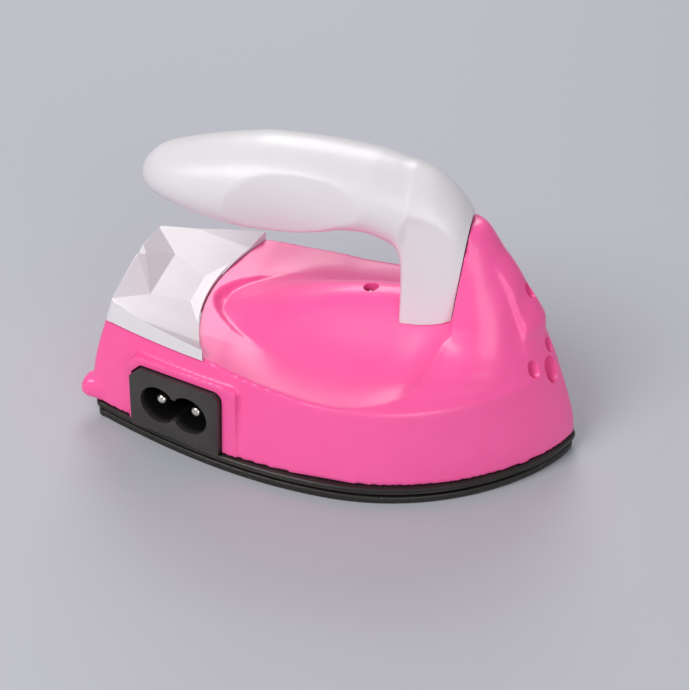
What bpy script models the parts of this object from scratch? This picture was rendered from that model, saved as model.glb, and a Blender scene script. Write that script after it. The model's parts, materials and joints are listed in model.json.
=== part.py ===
"""Mini handheld heat press for craft work: a small iron-shaped press with a fixed handle.

The nose points along +X, the near side with its power inlet faces -Y, and the soleplate rests on Z = 0.
The origin is the bottom centre of the whole press. Nothing on this press moves in use.
"""

import math

import bmesh
import bpy
from mathutils import Matrix, Vector

mm = 0.001

# Overall sizes
length = 108.0 * mm
width = 63.0 * mm
height = 66.0 * mm
half_length = length / 2
half_width = width / 2

# Clearances and cutting overruns
seat_gap = 0.3 * mm
overrun = 3.0 * mm

# Plan outline of the base, as shares of its half length and half width
rear_edge_share = -0.935
rear_corner_share = 0.549
widest_share = 0.093
side_bow_share = 0.93
nose_bow_share = 1.5
pinch_share = 0.1
corner_radius = 1.8 * mm
nose_steps = 11
side_steps = 7
corner_steps = 3

# Soleplate
lip_height = 1.8 * mm
lip_inset = 0.3 * mm
block_inset = 8.0 * mm
block_top = 5.5 * mm

# Base frame: an outer rim over a recessed neck that leaves a dark groove above the soleplate
frame_bottom = lip_height + seat_gap
groove_top = 2.9 * mm
rim_top = 4.2 * mm
groove_depth = 1.5 * mm
frame_inner_inset = 5.5 * mm
bridge_bottom = block_top + seat_gap
bridge_thickness = 1.6 * mm
bridge_top = bridge_bottom + bridge_thickness
bridge_wall = 3.4 * mm
rear_bridge_reach = 3.4 * mm
rear_bridge_half = 13.0 * mm
nose_bridge_reach = 8.0 * mm
nose_bridge_half = 4.2 * mm
post_radius = 3.0 * mm
post_offset = 5.0 * mm
post_inset = 8.0 * mm

# Upper shell
shell_bottom = rim_top + seat_gap
shell_inset = 1.0 * mm
wall = 2.0 * mm
side_lean_share = 0.036
lean_height = 0.267 * height

# Flank of the shell and horn: level, station where the flank starts to close, half width there, nose place
# and rear place, as shares of the height, half length, half width, half length and half length
flank_shares = (
    (0.068, 0.093, 0.968, 0.993, -0.948),
    (0.135, 0.093, 0.963, 0.979, -0.948),
    (0.200, 0.093, 0.955, 0.953, -0.941),
    (0.270, 0.093, 0.945, 0.921, -0.923),
    (0.335, 0.100, 0.933, 0.889, -0.901),
    (0.347, 0.230, 0.900, 0.883, -0.896),
    (0.365, 0.324, 0.826, 0.874, -0.890),
    (0.392, 0.385, 0.755, 0.859, -0.880),
    (0.418, 0.432, 0.635, 0.843, -0.871),
    (0.447, 0.459, 0.476, 0.825, -0.861),
    (0.471, 0.463, 0.381, 0.810, -0.852),
    (0.511, 0.464, 0.290, 0.783, -0.838),
    (0.560, 0.466, 0.268, 0.745, -0.830),
    (0.609, 0.468, 0.252, 0.700, -0.830),
    (0.685, 0.473, 0.234, 0.651, -0.830),
    (0.750, 0.479, 0.212, 0.597, -0.830),
    (0.785, 0.484, 0.190, 0.565, -0.830),
    (0.800, 0.486, 0.148, 0.547, -0.830),
    (0.808, 0.488, 0.080, 0.533, -0.830),
)

# Deck: height of its side rim along the press, as shares of the half length and of the height
rim_shares = (
    (-0.630, 0.402),
    (-0.537, 0.398),
    (-0.407, 0.391),
    (-0.333, 0.380),
    (-0.259, 0.368),
    (-0.185, 0.358),
    (-0.093, 0.348),
    (0.000, 0.338),
    (0.093, 0.335),
    (0.185, 0.340),
    (0.260, 0.352),
    (0.324, 0.367),
    (0.383, 0.392),
    (0.430, 0.418),
    (0.459, 0.447),
    (0.500, 0.471),
)
# Dome of the deck, which rises from a crescent crease in front of the rear cap
crease_apex_share = -0.491
crease_spread = 0.273 * width
dome_rise = 0.1667 * height
dome_run = 0.4074 * length
dome_bow_share = 1.3
crease_height = 0.356 * height
crease_dish = 0.041 * height
behind_crease_slope = 0.45
behind_crease_rise = 1.4 * mm
dish_front_share = 0.22
dish_rear_share = -0.18
deck_station_shares = (
    -0.630, -0.574, -0.537, -0.509, -0.491, -0.463, -0.407, -0.333, -0.259, -0.167, -0.074, 0.019,
    0.111, 0.204, 0.278, 0.343, 0.398, 0.435, 0.463,
)
deck_line_shares = (0.0, 0.25, 0.5, 0.75, 1.0)
narrowest_crease = 0.095 * half_width
horn_back = 0.4630 * half_length
horn_lean = 0.072

# Rear cap: a faceted lid that drops into the shell behind an arc
seam_height = 0.3864 * height
arc_apex = -0.537 * half_length
arc_sweep = 0.111 * half_length
arc_half = 0.794 * half_width
arc_steps = 12
shelf_height = 0.3409 * height
shelf_thickness = 3.0 * mm
cap_shares = {
    "notch": (-0.811, 0.0, 0.500),
    "peak": (-0.833, 0.063, 0.511),
    "corner": (-0.854, 0.492, 0.465),
    "floor": (-0.741, 0.273, 0.432),
    "front": (-0.370, 0.0, 0.335),
    "crease": (-0.370, 0.622, 0.376),
    "fold": (-0.731, 0.619, 0.447),
    "tip": (-0.333, 0.848, 0.417),
}

# Heel feet under the rear corners
heel_length = 3.4 * mm
heel_half_width = 2.6 * mm
heel_height = 5.2 * mm
heel_side_share = 0.49
heel_square_share = 0.6
# Sections of a heel foot from its tip inwards: shares of its length, half width and height
heel_shares = ((1.0, 0.62, 0.62), (0.82, 0.86, 0.86), (0.5, 1.0, 1.0), (-1.2, 1.0, 1.0))

# Vents in the nose: side offset, level and half height; each is narrower across than it is tall
vent_depth = 9.0 * mm
vents = (
    ("upper", -0.008 * width, 0.585 * height, 2.0 * mm),
    ("small", -0.022 * width, 0.411 * height, 1.8 * mm),
    ("side", -0.117 * width, 0.368 * height, 2.2 * mm),
    ("large", -0.052 * width, 0.338 * height, 3.3 * mm),
)
vent_narrow_share = 0.72
vent_tilt = math.radians(24)

# Raised shield round the upper vent: its step off the nose and flanks, and its outline as shares of the
# half width and the height
shield_step = 1.3 * mm
shield_side = 0.5 * mm
shield_rows = (0.335, 0.808)
shield_fade_shares = (
    (0.335, -0.2, 1.0),
    (0.447, -0.1, 1.0),
    (0.511, 1.0, 1.0),
    (0.609, 1.0, 1.0),
    (0.685, 0.4, 0.4),
    (0.750, -0.3, -0.3),
    (0.808, -0.3, -0.3),
)
shield_outline_shares = (
    (0.0, 0.440),
    (0.241, 0.414),
    (0.190, 0.500),
    (0.150, 0.620),
    (0.127, 0.760),
    (0.0, 0.760),
)
vent_sides = 20

# Inlet on the near side, behind the middle
inlet_turn = math.radians(-15)
inlet_x = -0.546 * half_length
inlet_y = -0.838 * half_width
inlet_width = 21.8 * mm
inlet_bottom = 4.8 * mm
inlet_top = 19.8 * mm
inlet_corner = 2.4 * mm
inlet_round = 2.0 * mm
inlet_flange = 3.4 * mm
inlet_body_depth = 10.0 * mm
inlet_body_inset = 1.5 * mm
inlet_back_wall = 1.4 * mm
recess_width = 16.4 * mm
recess_height = 9.0 * mm
recess_waist = 4.8 * mm
lobe_open_share = 0.9
lobe_steps = 14
pin_spacing = 8.6 * mm
pin_radius = 1.2 * mm
pin_sunk = 1.5 * mm
pin_tail = 3.0 * mm
boss_rear = 12.6 * mm
boss_front = 13.9 * mm
boss_set_back = 2.0 * mm
boss_depth = 3.2 * mm
boss_top = 20.7 * mm
inlet_middle = (inlet_bottom + inlet_top) / 2

# Handle: stations along the press with the centre line and the half sizes of the grip's section
grip_shares = (
    (-0.803, 0.823, 0.010, 0.013),
    (-0.796, 0.823, 0.070, 0.029),
    (-0.776, 0.826, 0.133, 0.050),
    (-0.741, 0.831, 0.194, 0.071),
    (-0.685, 0.833, 0.248, 0.089),
    (-0.611, 0.833, 0.286, 0.108),
    (-0.519, 0.833, 0.311, 0.128),
    (-0.407, 0.837, 0.333, 0.145),
    (-0.296, 0.845, 0.343, 0.152),
    (-0.185, 0.849, 0.343, 0.151),
    (-0.074, 0.857, 0.343, 0.142),
    (0.019, 0.865, 0.337, 0.129),
    (0.100, 0.864, 0.324, 0.1265),
    (0.165, 0.851, 0.308, 0.132),
    (0.210, 0.838, 0.298, 0.138),
    (0.237, 0.817, 0.292, 0.156),
)
grip_sides = 24
grip_square_share = 1.04
# Stem of the handle: top line and half width at its top, down to the foot
stem_shares = (
    (0.262, 0.972, 0.286, 0.250),
    (0.330, 0.954, 0.272, 0.250),
    (0.395, 0.920, 0.254, 0.246),
    (0.445, 0.882, 0.234, 0.240),
    (0.490, 0.834, 0.196, 0.226),
    (0.530, 0.790, 0.166, 0.208),
)
stem_bottom = 0.409 * height
stem_crease_share = 0.70
foot_bow_share = 0.5
finger_flat_start = -0.50 * half_length
finger_flat_end = 0.176 * half_length
finger_flat_depth = 1.7 * mm
finger_flat_tilt = math.radians(36)
finger_flat_level = 0.788 * height
finger_flat_offset = 0.298 * half_width
finger_flat_half = 0.136 * height
finger_flat_steps = 10

# Screws
screw_radius = 1.25 * mm
screw_head_radius = 2.4 * mm
screw_head_height = 1.5 * mm
screw_sides = 16
small_sides = 12
screw_tip_share = 0.6
head_edge_share = 0.55
head_crown_share = 0.72
socket_radius = 1.0 * mm
socket_depth = 0.7 * mm
screw_clearance = 0.2 * mm
handle_screw_station = 0.3615 * half_length
handle_screw_offset = 3.4 * mm
handle_screw_length = 13.0 * mm
handle_boss_radius = 3.0 * mm
handle_boss_bottom = stem_bottom + seat_gap * 2
shell_screw_length = 12.0 * mm
sole_screw_length = 4.4 * mm
rear_sole_screw_x = -0.748 * half_length
rear_sole_screw_y = 10.5 * mm
nose_sole_screw_x = 0.778 * half_length

# Heating plate, mica sheet and clamp on the soleplate's block
heater_middle = 0.074 * half_length
heater_length = 0.370 * length
heater_width = 0.286 * width
heater_height = 3.0 * mm
heater_edge = 0.6 * mm
mica_height = 0.5 * mm
mica_margin = 1.0 * mm
clamp_sheet = 1.0 * mm
clamp_width = 12.0 * mm
clamp_foot = 7.0 * mm
clamp_screw_length = 3.4 * mm

# Thermostat and thermal fuse beside the heating plate
thermostat_lane = 9.8 * mm
thermostat_length = 0.176 * length
thermostat_width = 7.0 * mm
thermostat_height = 4.0 * mm
thermostat_y = heater_width / 2 + thermostat_lane
thermostat_x = 0.148 * half_length
clip_sheet = 0.6 * mm
clip_width = 5.0 * mm
clip_foot = 4.4 * mm
small_screw_radius = 0.9 * mm
small_head_radius = 1.7 * mm
small_head_height = 1.0 * mm
small_screw_length = 3.0 * mm
sleeve_radius = 2.2 * mm
sleeve_bore = 1.7 * mm
sleeve_length = 0.241 * length
fuse_lane = 9.4 * mm
fuse_radius = 1.3 * mm
fuse_length = 12.0 * mm
fuse_case_share = 0.7
fuse_lead_radius = 0.4 * mm
fuse_wire_reach = 2.4 * mm
fuse_x = 0.148 * half_length
fuse_y = -heater_width / 2 - fuse_lane

# Indicator lamp in the deck
lamp_x = 0.120 * half_length
lamp_hole_radius = 1.7 * mm
lamp_radius = 1.4 * mm
lamp_flange_radius = 1.8 * mm
lamp_flange = 0.8 * mm
lamp_below_deck = 0.7 * mm
lamp_height = 6.2 * mm
lamp_sides = 20
holder_radius = 3.4 * mm
resistor_radius = 1.2 * mm
resistor_length = 6.4 * mm

# Leads
lead_radius = 0.8 * mm
lamp_lead_radius = 0.45 * mm
lead_step_count = 4
lead_bevel_steps = 1

# Routes of the leads between their ends, as shares of the half length, half width and height
live_route = (
    (-0.3444, -0.2063, 0.2000),
    (-0.3241, 0.0000, 0.2152),
    (-0.2870, 0.2540, 0.1970),
    (-0.1574, 0.5143, 0.1394),
)
neutral_route = (
    (-0.5000, -0.1429, 0.2061),
    (-0.3148, -0.1079, 0.2636),
    (-0.2407, -0.5270, 0.1606),
)
heater_lead_x = 0.315 * half_length
live_link_route = (
    (0.4185, 0.5460, 0.1242),
    (0.3704, 0.4063, 0.1182),
)
neutral_link_route = (
    (0.4889, -0.5460, 0.1273),
    (0.3815, -0.4095, 0.1167),
)
resistor_x = 0.0185 * half_length
resistor_y = 0.2222 * half_width
resistor_level = 0.2879 * height
lamp_live_route = (
    (0.1111, 0.0635, 0.3606),
    (0.0481, 0.1778, 0.3788),
)
resistor_route = (
    (0.0259, 0.2540, 0.2061),
    (0.0296, 0.4952, 0.2030),
)
thermostat_tap_x = 0.037 * half_length
lamp_neutral_route = (
    (0.1296, -0.0952, 0.3333),
    (0.1852, -0.3175, 0.2121),
    (0.4352, -0.5079, 0.1939),
)

# Finishes: base colour, roughness, metallic
finishes = {
    "pink_shell": ((1.0, 0.115, 0.370, 1.0), 0.38, 0.0),
    "white_shell": ((0.85, 0.82, 0.85, 1.0), 0.35, 0.0),
    "black_frame": ((0.010, 0.009, 0.008, 1.0), 0.55, 0.0),
    "black_coating": ((0.014, 0.013, 0.012, 1.0), 0.45, 0.0),
    "inlet_black": ((0.030, 0.026, 0.024, 1.0), 0.48, 0.0),
    "plated_pin": ((0.80, 0.78, 0.74, 1.0), 0.25, 1.0),
    "zinc_steel": ((0.62, 0.62, 0.60, 1.0), 0.35, 1.0),
    "heater_ceramic": ((0.86, 0.83, 0.76, 1.0), 0.60, 0.0),
    "mica": ((0.50, 0.43, 0.30, 1.0), 0.45, 0.0),
    "glass_fibre": ((0.82, 0.80, 0.74, 1.0), 0.85, 0.0),
    "fuse_case": ((0.70, 0.58, 0.22, 1.0), 0.30, 1.0),
    "lamp_red": ((0.35, 0.02, 0.03, 1.0), 0.15, 0.0),
    "holder_white": ((0.72, 0.70, 0.68, 1.0), 0.55, 0.0),
    "resistor_body": ((0.62, 0.50, 0.34, 1.0), 0.50, 0.0),
    "lead_brown": ((0.16, 0.07, 0.03, 1.0), 0.55, 0.0),
    "lead_blue": ((0.03, 0.09, 0.33, 1.0), 0.55, 0.0),
    "lead_white": ((0.70, 0.69, 0.66, 1.0), 0.55, 0.0),
}


def clear_scene():
    for old in list(bpy.data.objects):
        bpy.data.objects.remove(old, do_unlink=True)


def finish_material(name):
    colour, roughness, metallic = finishes[name]
    material = bpy.data.materials.get(name) or bpy.data.materials.new(name)
    material.use_nodes = True
    shader = material.node_tree.nodes["Principled BSDF"]
    shader.inputs["Base Color"].default_value = colour
    shader.inputs["Roughness"].default_value = roughness
    shader.inputs["Metallic"].default_value = metallic
    material.diffuse_color = colour
    return material


def solid(name, bm, finish, smooth_angle=math.radians(35)):
    """Make one named object from a bmesh, with faces outwards and round parts smooth."""
    bmesh.ops.recalc_face_normals(bm, faces=bm.faces)
    if bm.calc_volume(signed=True) < 0:
        bmesh.ops.reverse_faces(bm, faces=bm.faces)
    mesh = bpy.data.meshes.new(name)
    bm.to_mesh(mesh)
    bm.free()
    mesh.materials.append(finish_material(finish))
    mesh.shade_smooth()
    mesh.set_sharp_from_angle(angle=smooth_angle)
    made = bpy.data.objects.new(name, mesh)
    bpy.context.scene.collection.objects.link(made)
    return made


def combine(target, tool, operation):
    """Cut, join or intersect the target with a tool body, which is used up."""
    modifier = target.modifiers.new(operation.lower(), "BOOLEAN")
    modifier.operation = operation
    modifier.solver = "EXACT"
    modifier.object = tool
    bpy.context.view_layer.update()
    evaluated = target.evaluated_get(bpy.context.evaluated_depsgraph_get())
    mesh = bpy.data.meshes.new_from_object(evaluated)
    target.modifiers.remove(modifier)
    old = target.data
    target.data = mesh
    mesh.name = target.name
    kept = old.materials[0]
    mesh.materials.clear()
    mesh.materials.append(kept)
    bpy.data.meshes.remove(old)
    bpy.data.objects.remove(tool, do_unlink=True)
    return target


def cut(target, *tools):
    for tool in tools:
        combine(target, tool, "DIFFERENCE")
    return target


def join(target, *tools):
    for tool in tools:
        combine(target, tool, "UNION")
    return target


def keep_common(target, tool):
    return combine(target, tool, "INTERSECT")


def loft(name, rings, finish="pink_shell"):
    """Skin closed rings of equal counts, with flat caps on the first and last ring."""
    bm = bmesh.new()
    rows = [[bm.verts.new(point) for point in ring] for ring in rings]
    count = len(rows[0])
    for lower, upper in zip(rows, rows[1:]):
        for i in range(count):
            j = (i + 1) % count
            bm.faces.new((lower[i], lower[j], upper[j], upper[i]))
    bm.faces.new(rows[0])
    bm.faces.new(list(reversed(rows[-1])))
    bmesh.ops.triangulate(bm, faces=bm.faces)
    return solid(name, bm, finish)


def prism(name, outline, low, high, finish="pink_shell"):
    """Extrude a plan outline between two levels."""
    return loft(name, [[Vector((x, y, z)) for x, y in outline] for z in (low, high)], finish)


def block(name, low, high, finish="pink_shell"):
    outline = ((low[0], low[1]), (high[0], low[1]), (high[0], high[1]), (low[0], high[1]))
    return prism(name, outline, low[2], high[2], finish)


def cylinder(name, middle, radius, low, high, finish="pink_shell", sides=screw_sides):
    turns = [2 * math.pi * i / sides for i in range(sides)]
    outline = [(middle[0] + radius * math.cos(a), middle[1] + radius * math.sin(a)) for a in turns]
    return prism(name, outline, low, high, finish)


def turned(name, profile, finish, sides=screw_sides):
    """Turn a profile of (radius, level) pairs about the Z axis; both ends lie on the axis."""
    bm = bmesh.new()
    ring_points = []
    for radius, level in profile:
        if radius == 0:
            ring_points.append([bm.verts.new((0, 0, level))])
            continue
        turns = [2 * math.pi * i / sides for i in range(sides)]
        ring = [(radius * math.cos(a), radius * math.sin(a), level) for a in turns]
        ring_points.append([bm.verts.new(point) for point in ring])
    for lower, upper in zip(ring_points, ring_points[1:]):
        for i in range(sides):
            j = (i + 1) % sides
            corners = [lower[i % len(lower)], lower[j % len(lower)]]
            corners += [upper[j % len(upper)], upper[i % len(upper)]]
            bm.faces.new(list(dict.fromkeys(corners)))
    return solid(name, bm, finish)


def place(made, matrix):
    """Move the mesh itself, so every fixed piece keeps its origin at the press's origin."""
    made.data.transform(matrix)
    return made


def along(table, place_on, column):
    """Read a column of a shares table at a place between its rows."""
    for low, high in zip(table, table[1:]):
        if place_on <= high[0]:
            part = (place_on - low[0]) / (high[0] - low[0])
            return low[column] + max(part, 0) * (high[column] - low[column])
    return table[-1][column]


def body_half_width(x, widest, rear_x, rear_half, station):
    """Half width of the rear part of the plan outline, from the rear corner to its widest station."""
    part = min(max((x - rear_x) / (station - rear_x), 0), 1)
    return rear_half + (widest - rear_half) * math.sin(part * math.pi / 2) ** side_bow_share


def plan_ring(z, widest, station, nose, rear_x, rear_half, body_widest, body_station):
    """One closed plan outline at a level, from the nose round the far side, the rear and the near side."""
    far = []
    for i in range(1, nose_steps + 1):
        turn = math.pi / 2 * (1 - i / nose_steps)
        x = station + (nose - station) * math.sin(turn)
        far.append((x, widest * math.cos(turn) ** nose_bow_share))
    start = rear_x + corner_radius
    shortfall = body_half_width(station, body_widest, rear_x, rear_half, body_station) - widest
    if station > body_station:
        turn = (station - body_station) / (half_length - body_station)
        shortfall = body_widest * (1 - turn ** 2) ** (nose_bow_share / 2) - widest
    pinch_start = rear_x * pinch_share
    for i in range(1, side_steps + 1):
        x = station + (start - station) * i / side_steps
        half = body_half_width(x, body_widest, rear_x, rear_half, body_station)
        if x > body_station:
            turn = (x - body_station) / (half_length - body_station)
            half = body_widest * (1 - turn ** 2) ** (nose_bow_share / 2)
        part = min(max((x - pinch_start) / (station - pinch_start), 0), 1)
        far.append((x, half - shortfall * part * part * (3 - 2 * part)))
    corner_half = far[-1][1] - corner_radius
    for i in range(1, corner_steps + 1):
        turn = math.pi / 2 * i / corner_steps
        far.append((start - corner_radius * math.sin(turn), corner_half + corner_radius * math.cos(turn)))
    ring = [Vector((nose, 0, z))]
    ring += [Vector((x, y, z)) for x, y in far]
    ring += [Vector((x, -y, z)) for x, y in reversed(far)]
    return ring


def base_ring(z, inset):
    rear_x = rear_edge_share * half_length + inset
    rear_half = rear_corner_share * half_width - inset
    station = widest_share * half_length
    widest = half_width - inset
    return plan_ring(z, widest, station, half_length - inset, rear_x, rear_half, widest, station)


def base_prism(name, inset, low, high, finish="pink_shell"):
    return loft(name, [base_ring(low, inset), base_ring(high, inset)], finish)


def shell_ring(z, inset, shares):
    """Plan outline of the shell at a level, drawn in by an inset for its inner faces."""
    _, station_share, half_share, nose_share, rear_share = shares
    rise = z - shell_bottom
    lean = 1 - side_lean_share * rise / lean_height
    rear_x = rear_share * half_length + inset
    rear_half = (rear_corner_share * half_width - shell_inset / 2) * lean - inset
    body_widest = (half_width - shell_inset) * lean - inset
    body_station = widest_share * half_length
    widest = half_share * half_width - inset
    station = station_share * half_length
    nose = nose_share * half_length - inset
    return plan_ring(z, widest, station, nose, rear_x, rear_half, body_widest, body_station)


def shell_loft(name, inset, floor_extra, top):
    """The whole shell's outer form, or its inner one when inset, before the deck is cut."""
    rows = [shares for shares in flank_shares[1:] if shares[0] * height <= top]
    rings = [shell_ring(shell_bottom, inset, flank_shares[0])]
    rings += [shell_ring(shares[0] * height, inset, shares) for shares in rows]
    if floor_extra:
        rings.insert(0, [point - Vector((0, 0, floor_extra)) for point in rings[0]])
    return loft(name, rings)


def rim_height(x):
    return along(rim_shares, x / half_length, 1) * height


def rim_half(x):
    """Half width of the deck at a station, read from the flank where the rim meets it."""
    body_station = widest_share * half_length
    lean = 1 - side_lean_share * (rim_height(x) - shell_bottom) / lean_height
    widest = (half_width - shell_inset) * lean
    if x <= body_station:
        rear_x = along([(row[0] * height, row[4] * half_length) for row in flank_shares], rim_height(x), 1)
        rear_half = (rear_corner_share * half_width - shell_inset / 2) * lean
        return body_half_width(x, widest, rear_x, rear_half, body_station)
    by_station = [(row[1] * half_length, row[2] * half_width) for row in flank_shares[1:]]
    return along(by_station, x, 1)


def deck_row(x):
    """Points of the deck across the press at one station, on the far half from the middle out."""
    crease_x = crease_apex_share * half_length
    rim_z = rim_height(x)
    rim_y = rim_half(x)
    forward = x - crease_x
    crease_y = math.sqrt(max(forward, 0) * crease_spread)
    crease_y = min(max(crease_y, narrowest_crease), rim_y)
    rise = dome_rise * math.sin(math.pi / 2 * min(max(forward, 0) / dome_run, 1))
    fade = (x / half_length - dish_rear_share) / (dish_front_share - dish_rear_share)
    dish = crease_dish * (1 - min(max(fade, 0), 1))

    def ground(y):
        share = min(y / rim_y, 1)
        behind = max(y * y / crease_spread - forward, 0) * behind_crease_slope
        return rim_z - dish * (1 - share) + min(behind, behind_crease_rise) * (1 - share)

    crest = crease_height + rise
    row = []
    for share in deck_line_shares:
        edge = ground(crease_y)
        y = share * crease_y
        if forward <= 0:
            row.append((y, ground(y)))
        else:
            row.append((y, edge + max(crest - edge, 0) * (1 - share ** dome_bow_share)))
    middle = (crease_y + rim_y) / 2
    if rim_y - crease_y > overrun / 3:
        row.append((middle, ground(middle)))
    else:
        row.append((rim_y + overrun / 3, rim_z))
    row.append((rim_y + overrun / 2, rim_z))
    row.append((rim_y + overrun * 2, rim_z))
    return row


def deck_points(drop, front):
    rows = []
    stations = [share * half_length for share in deck_station_shares]
    stations[-1] = horn_back
    if front > horn_back:
        stations.append(front)
    for x in stations:
        far = deck_row(min(x, horn_back))
        row = [Vector((x, -y, z - drop)) for y, z in reversed(far[1:])]
        row += [Vector((x, y, z - drop)) for y, z in far]
        rows.append(row)
    return rows


def sheet_solid(name, rows, level, shear=0.0):
    """Fill between a surface, given as rows of points, and a flat level above or below it."""
    bm = bmesh.new()
    near = [[bm.verts.new(point) for point in row] for row in rows]
    far = [[bm.verts.new((p.x + shear * (level - p.z), p.y, level)) for p in row] for row in rows]
    last_row = len(rows) - 1
    last = len(rows[0]) - 1
    for i in range(last_row):
        for j in range(last):
            for grid in (near, far):
                bm.faces.new((grid[i][j], grid[i][j + 1], grid[i + 1][j + 1]))
                bm.faces.new((grid[i][j], grid[i + 1][j + 1], grid[i + 1][j]))
    border = [(0, j) for j in range(last)] + [(i, last) for i in range(last_row)]
    border += [(last_row, j) for j in range(last, 0, -1)] + [(i, 0) for i in range(last_row, 0, -1)]
    for (i, j), (m, n) in zip(border, border[1:] + border[:1]):
        bm.faces.new((near[i][j], near[m][n], far[m][n], far[i][j]))
    bmesh.ops.triangulate(bm, faces=bm.faces)
    return solid(name, bm, "pink_shell")


def above_deck(name, drop=0.0, front=horn_back):
    return sheet_solid(name, deck_points(drop, front), height + overrun, horn_lean)


def behind_arc(name, low, high, set_back=0.0, reach=overrun):
    """The space behind the arc where the rear cap meets the deck."""
    outline = []
    side = half_width + reach
    for i in range(arc_steps + 1):
        y = side * (2 * i / arc_steps - 1)
        outline.append((arc_apex - set_back + arc_sweep * (y / arc_half) ** 2, y))
    rear = -half_length - reach
    outline += [(rear, side), (rear, -side)]
    return prism(name, outline, low, high)


def cap_point(key, side=1, extra_x=0.0, y=None):
    x_share, y_share, z_share = cap_shares[key]
    across = side * y_share * half_width if y is None else side * y
    return (x_share * half_length + extra_x, across, z_share * height)


def above_cap(name):
    """Everything over the cap's facets: two wings, a sunk floor and the small steep facet at the rear."""
    bm = bmesh.new()
    outside = half_width + overrun
    rear = -half_length - overrun - cap_shares["corner"][0] * half_length
    far_front = cap_point("tip")[0]

    def corners(side):
        return {
            "peak": cap_point("peak", side),
            "corner": cap_point("corner", side),
            "floor": cap_point("floor", side),
            "crease": cap_point("crease", side),
            "fold": cap_point("fold", side),
            "tip": cap_point("tip", side),
            "peak_out": cap_point("peak", side, rear),
            "corner_out": cap_point("corner", side, rear),
            "corner_side": cap_point("corner", side, rear, outside),
            "fold_side": cap_point("fold", side, 0.0, outside),
            "tip_side": cap_point("tip", side, 0.0, outside),
        }

    middle = {
        "notch": bm.verts.new(cap_point("notch")),
        "notch_out": bm.verts.new(cap_point("notch", 1, rear)),
        "front": bm.verts.new(cap_point("front")),
    }
    faces = (
        ("notch", "peak", "floor"),
        ("notch", "notch_out", "peak_out", "peak"),
        ("peak", "peak_out", "corner_out", "corner"),
        ("peak", "corner", "floor"),
        ("floor", "crease", "front"),
        ("corner", "crease", "floor"),
        ("corner", "fold", "crease"),
        ("fold", "tip", "crease"),
        ("corner", "corner_out", "corner_side"),
        ("corner", "corner_side", "fold_side", "fold"),
        ("fold", "fold_side", "tip_side", "tip"),
    )
    floors = []
    for side in (1, -1):
        named = {key: bm.verts.new(point) for key, point in corners(side).items()}
        named.update(middle)
        for face in faces:
            bm.faces.new([named[key] for key in face])
        floors.append(named["floor"])
    bm.faces.new((middle["notch"], floors[0], middle["front"], floors[1]))
    bmesh.ops.triangulate(bm, faces=bm.faces)
    lift_sheet(bm, height + overrun)
    return solid(name, bm, "white_shell")


def lift_sheet(bm, level):
    """Close an open sheet of faces into a solid that reaches up to a level."""
    sheet = bm.faces[:]
    border = [edge for edge in bm.edges if len(edge.link_faces) == 1]
    lifted = {vertex: bm.verts.new((vertex.co.x, vertex.co.y, level)) for vertex in bm.verts[:]}
    for face in sheet:
        bm.faces.new([lifted[vertex] for vertex in face.verts])
    for edge in border:
        first, second = edge.verts
        bm.faces.new((first, second, lifted[second], lifted[first]))


def inlet_matrix():
    return Matrix.Translation((inlet_x, inlet_y, 0)) @ Matrix.Rotation(inlet_turn, 4, "Z")


def inlet_prism(name, outline, front, back, finish="pink_shell"):
    """Extrude an outline in the inlet's face, given as (across, level), into the press."""
    rings = [[Vector((across, depth, level)) for across, level in outline] for depth in (front, back)]
    made = loft(name, rings, finish)
    return place(made, inlet_matrix())


def inlet_outline(grow=0.0):
    """Face outline of the inlet: one top corner cut off and the other rounded."""
    half = inlet_width / 2 + grow
    low = inlet_bottom - grow
    high = inlet_top + grow
    outline = [(-half, low), (half, low)]
    for i in range(corner_steps + 1):
        turn = math.pi / 2 * i / corner_steps
        across = half - inlet_round * (1 - math.cos(turn))
        outline.append((across, high - inlet_round * (1 - math.sin(turn))))
    outline += [(-half + inlet_corner, high), (-half, high - inlet_corner)]
    return outline


def figure_eight(grow=0.0):
    """Outline of the recess: two round lobes joined by a narrower waist."""
    radius = recess_height / 2 + grow
    reach = recess_width / 2 - recess_height / 2
    waist = recess_waist / 2 + grow
    open_turn = math.acos(min(waist / radius, 1)) * lobe_open_share
    outline = []
    for side in (1, -1):
        first = math.pi / 2 + open_turn
        for i in range(lobe_steps + 1):
            turn = first - 2 * first * i / lobe_steps
            across = reach + radius * math.cos(turn)
            across = max(across, waist / 4)
            outline.append((side * across, inlet_middle + side * radius * math.sin(turn)))
    return outline


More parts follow.
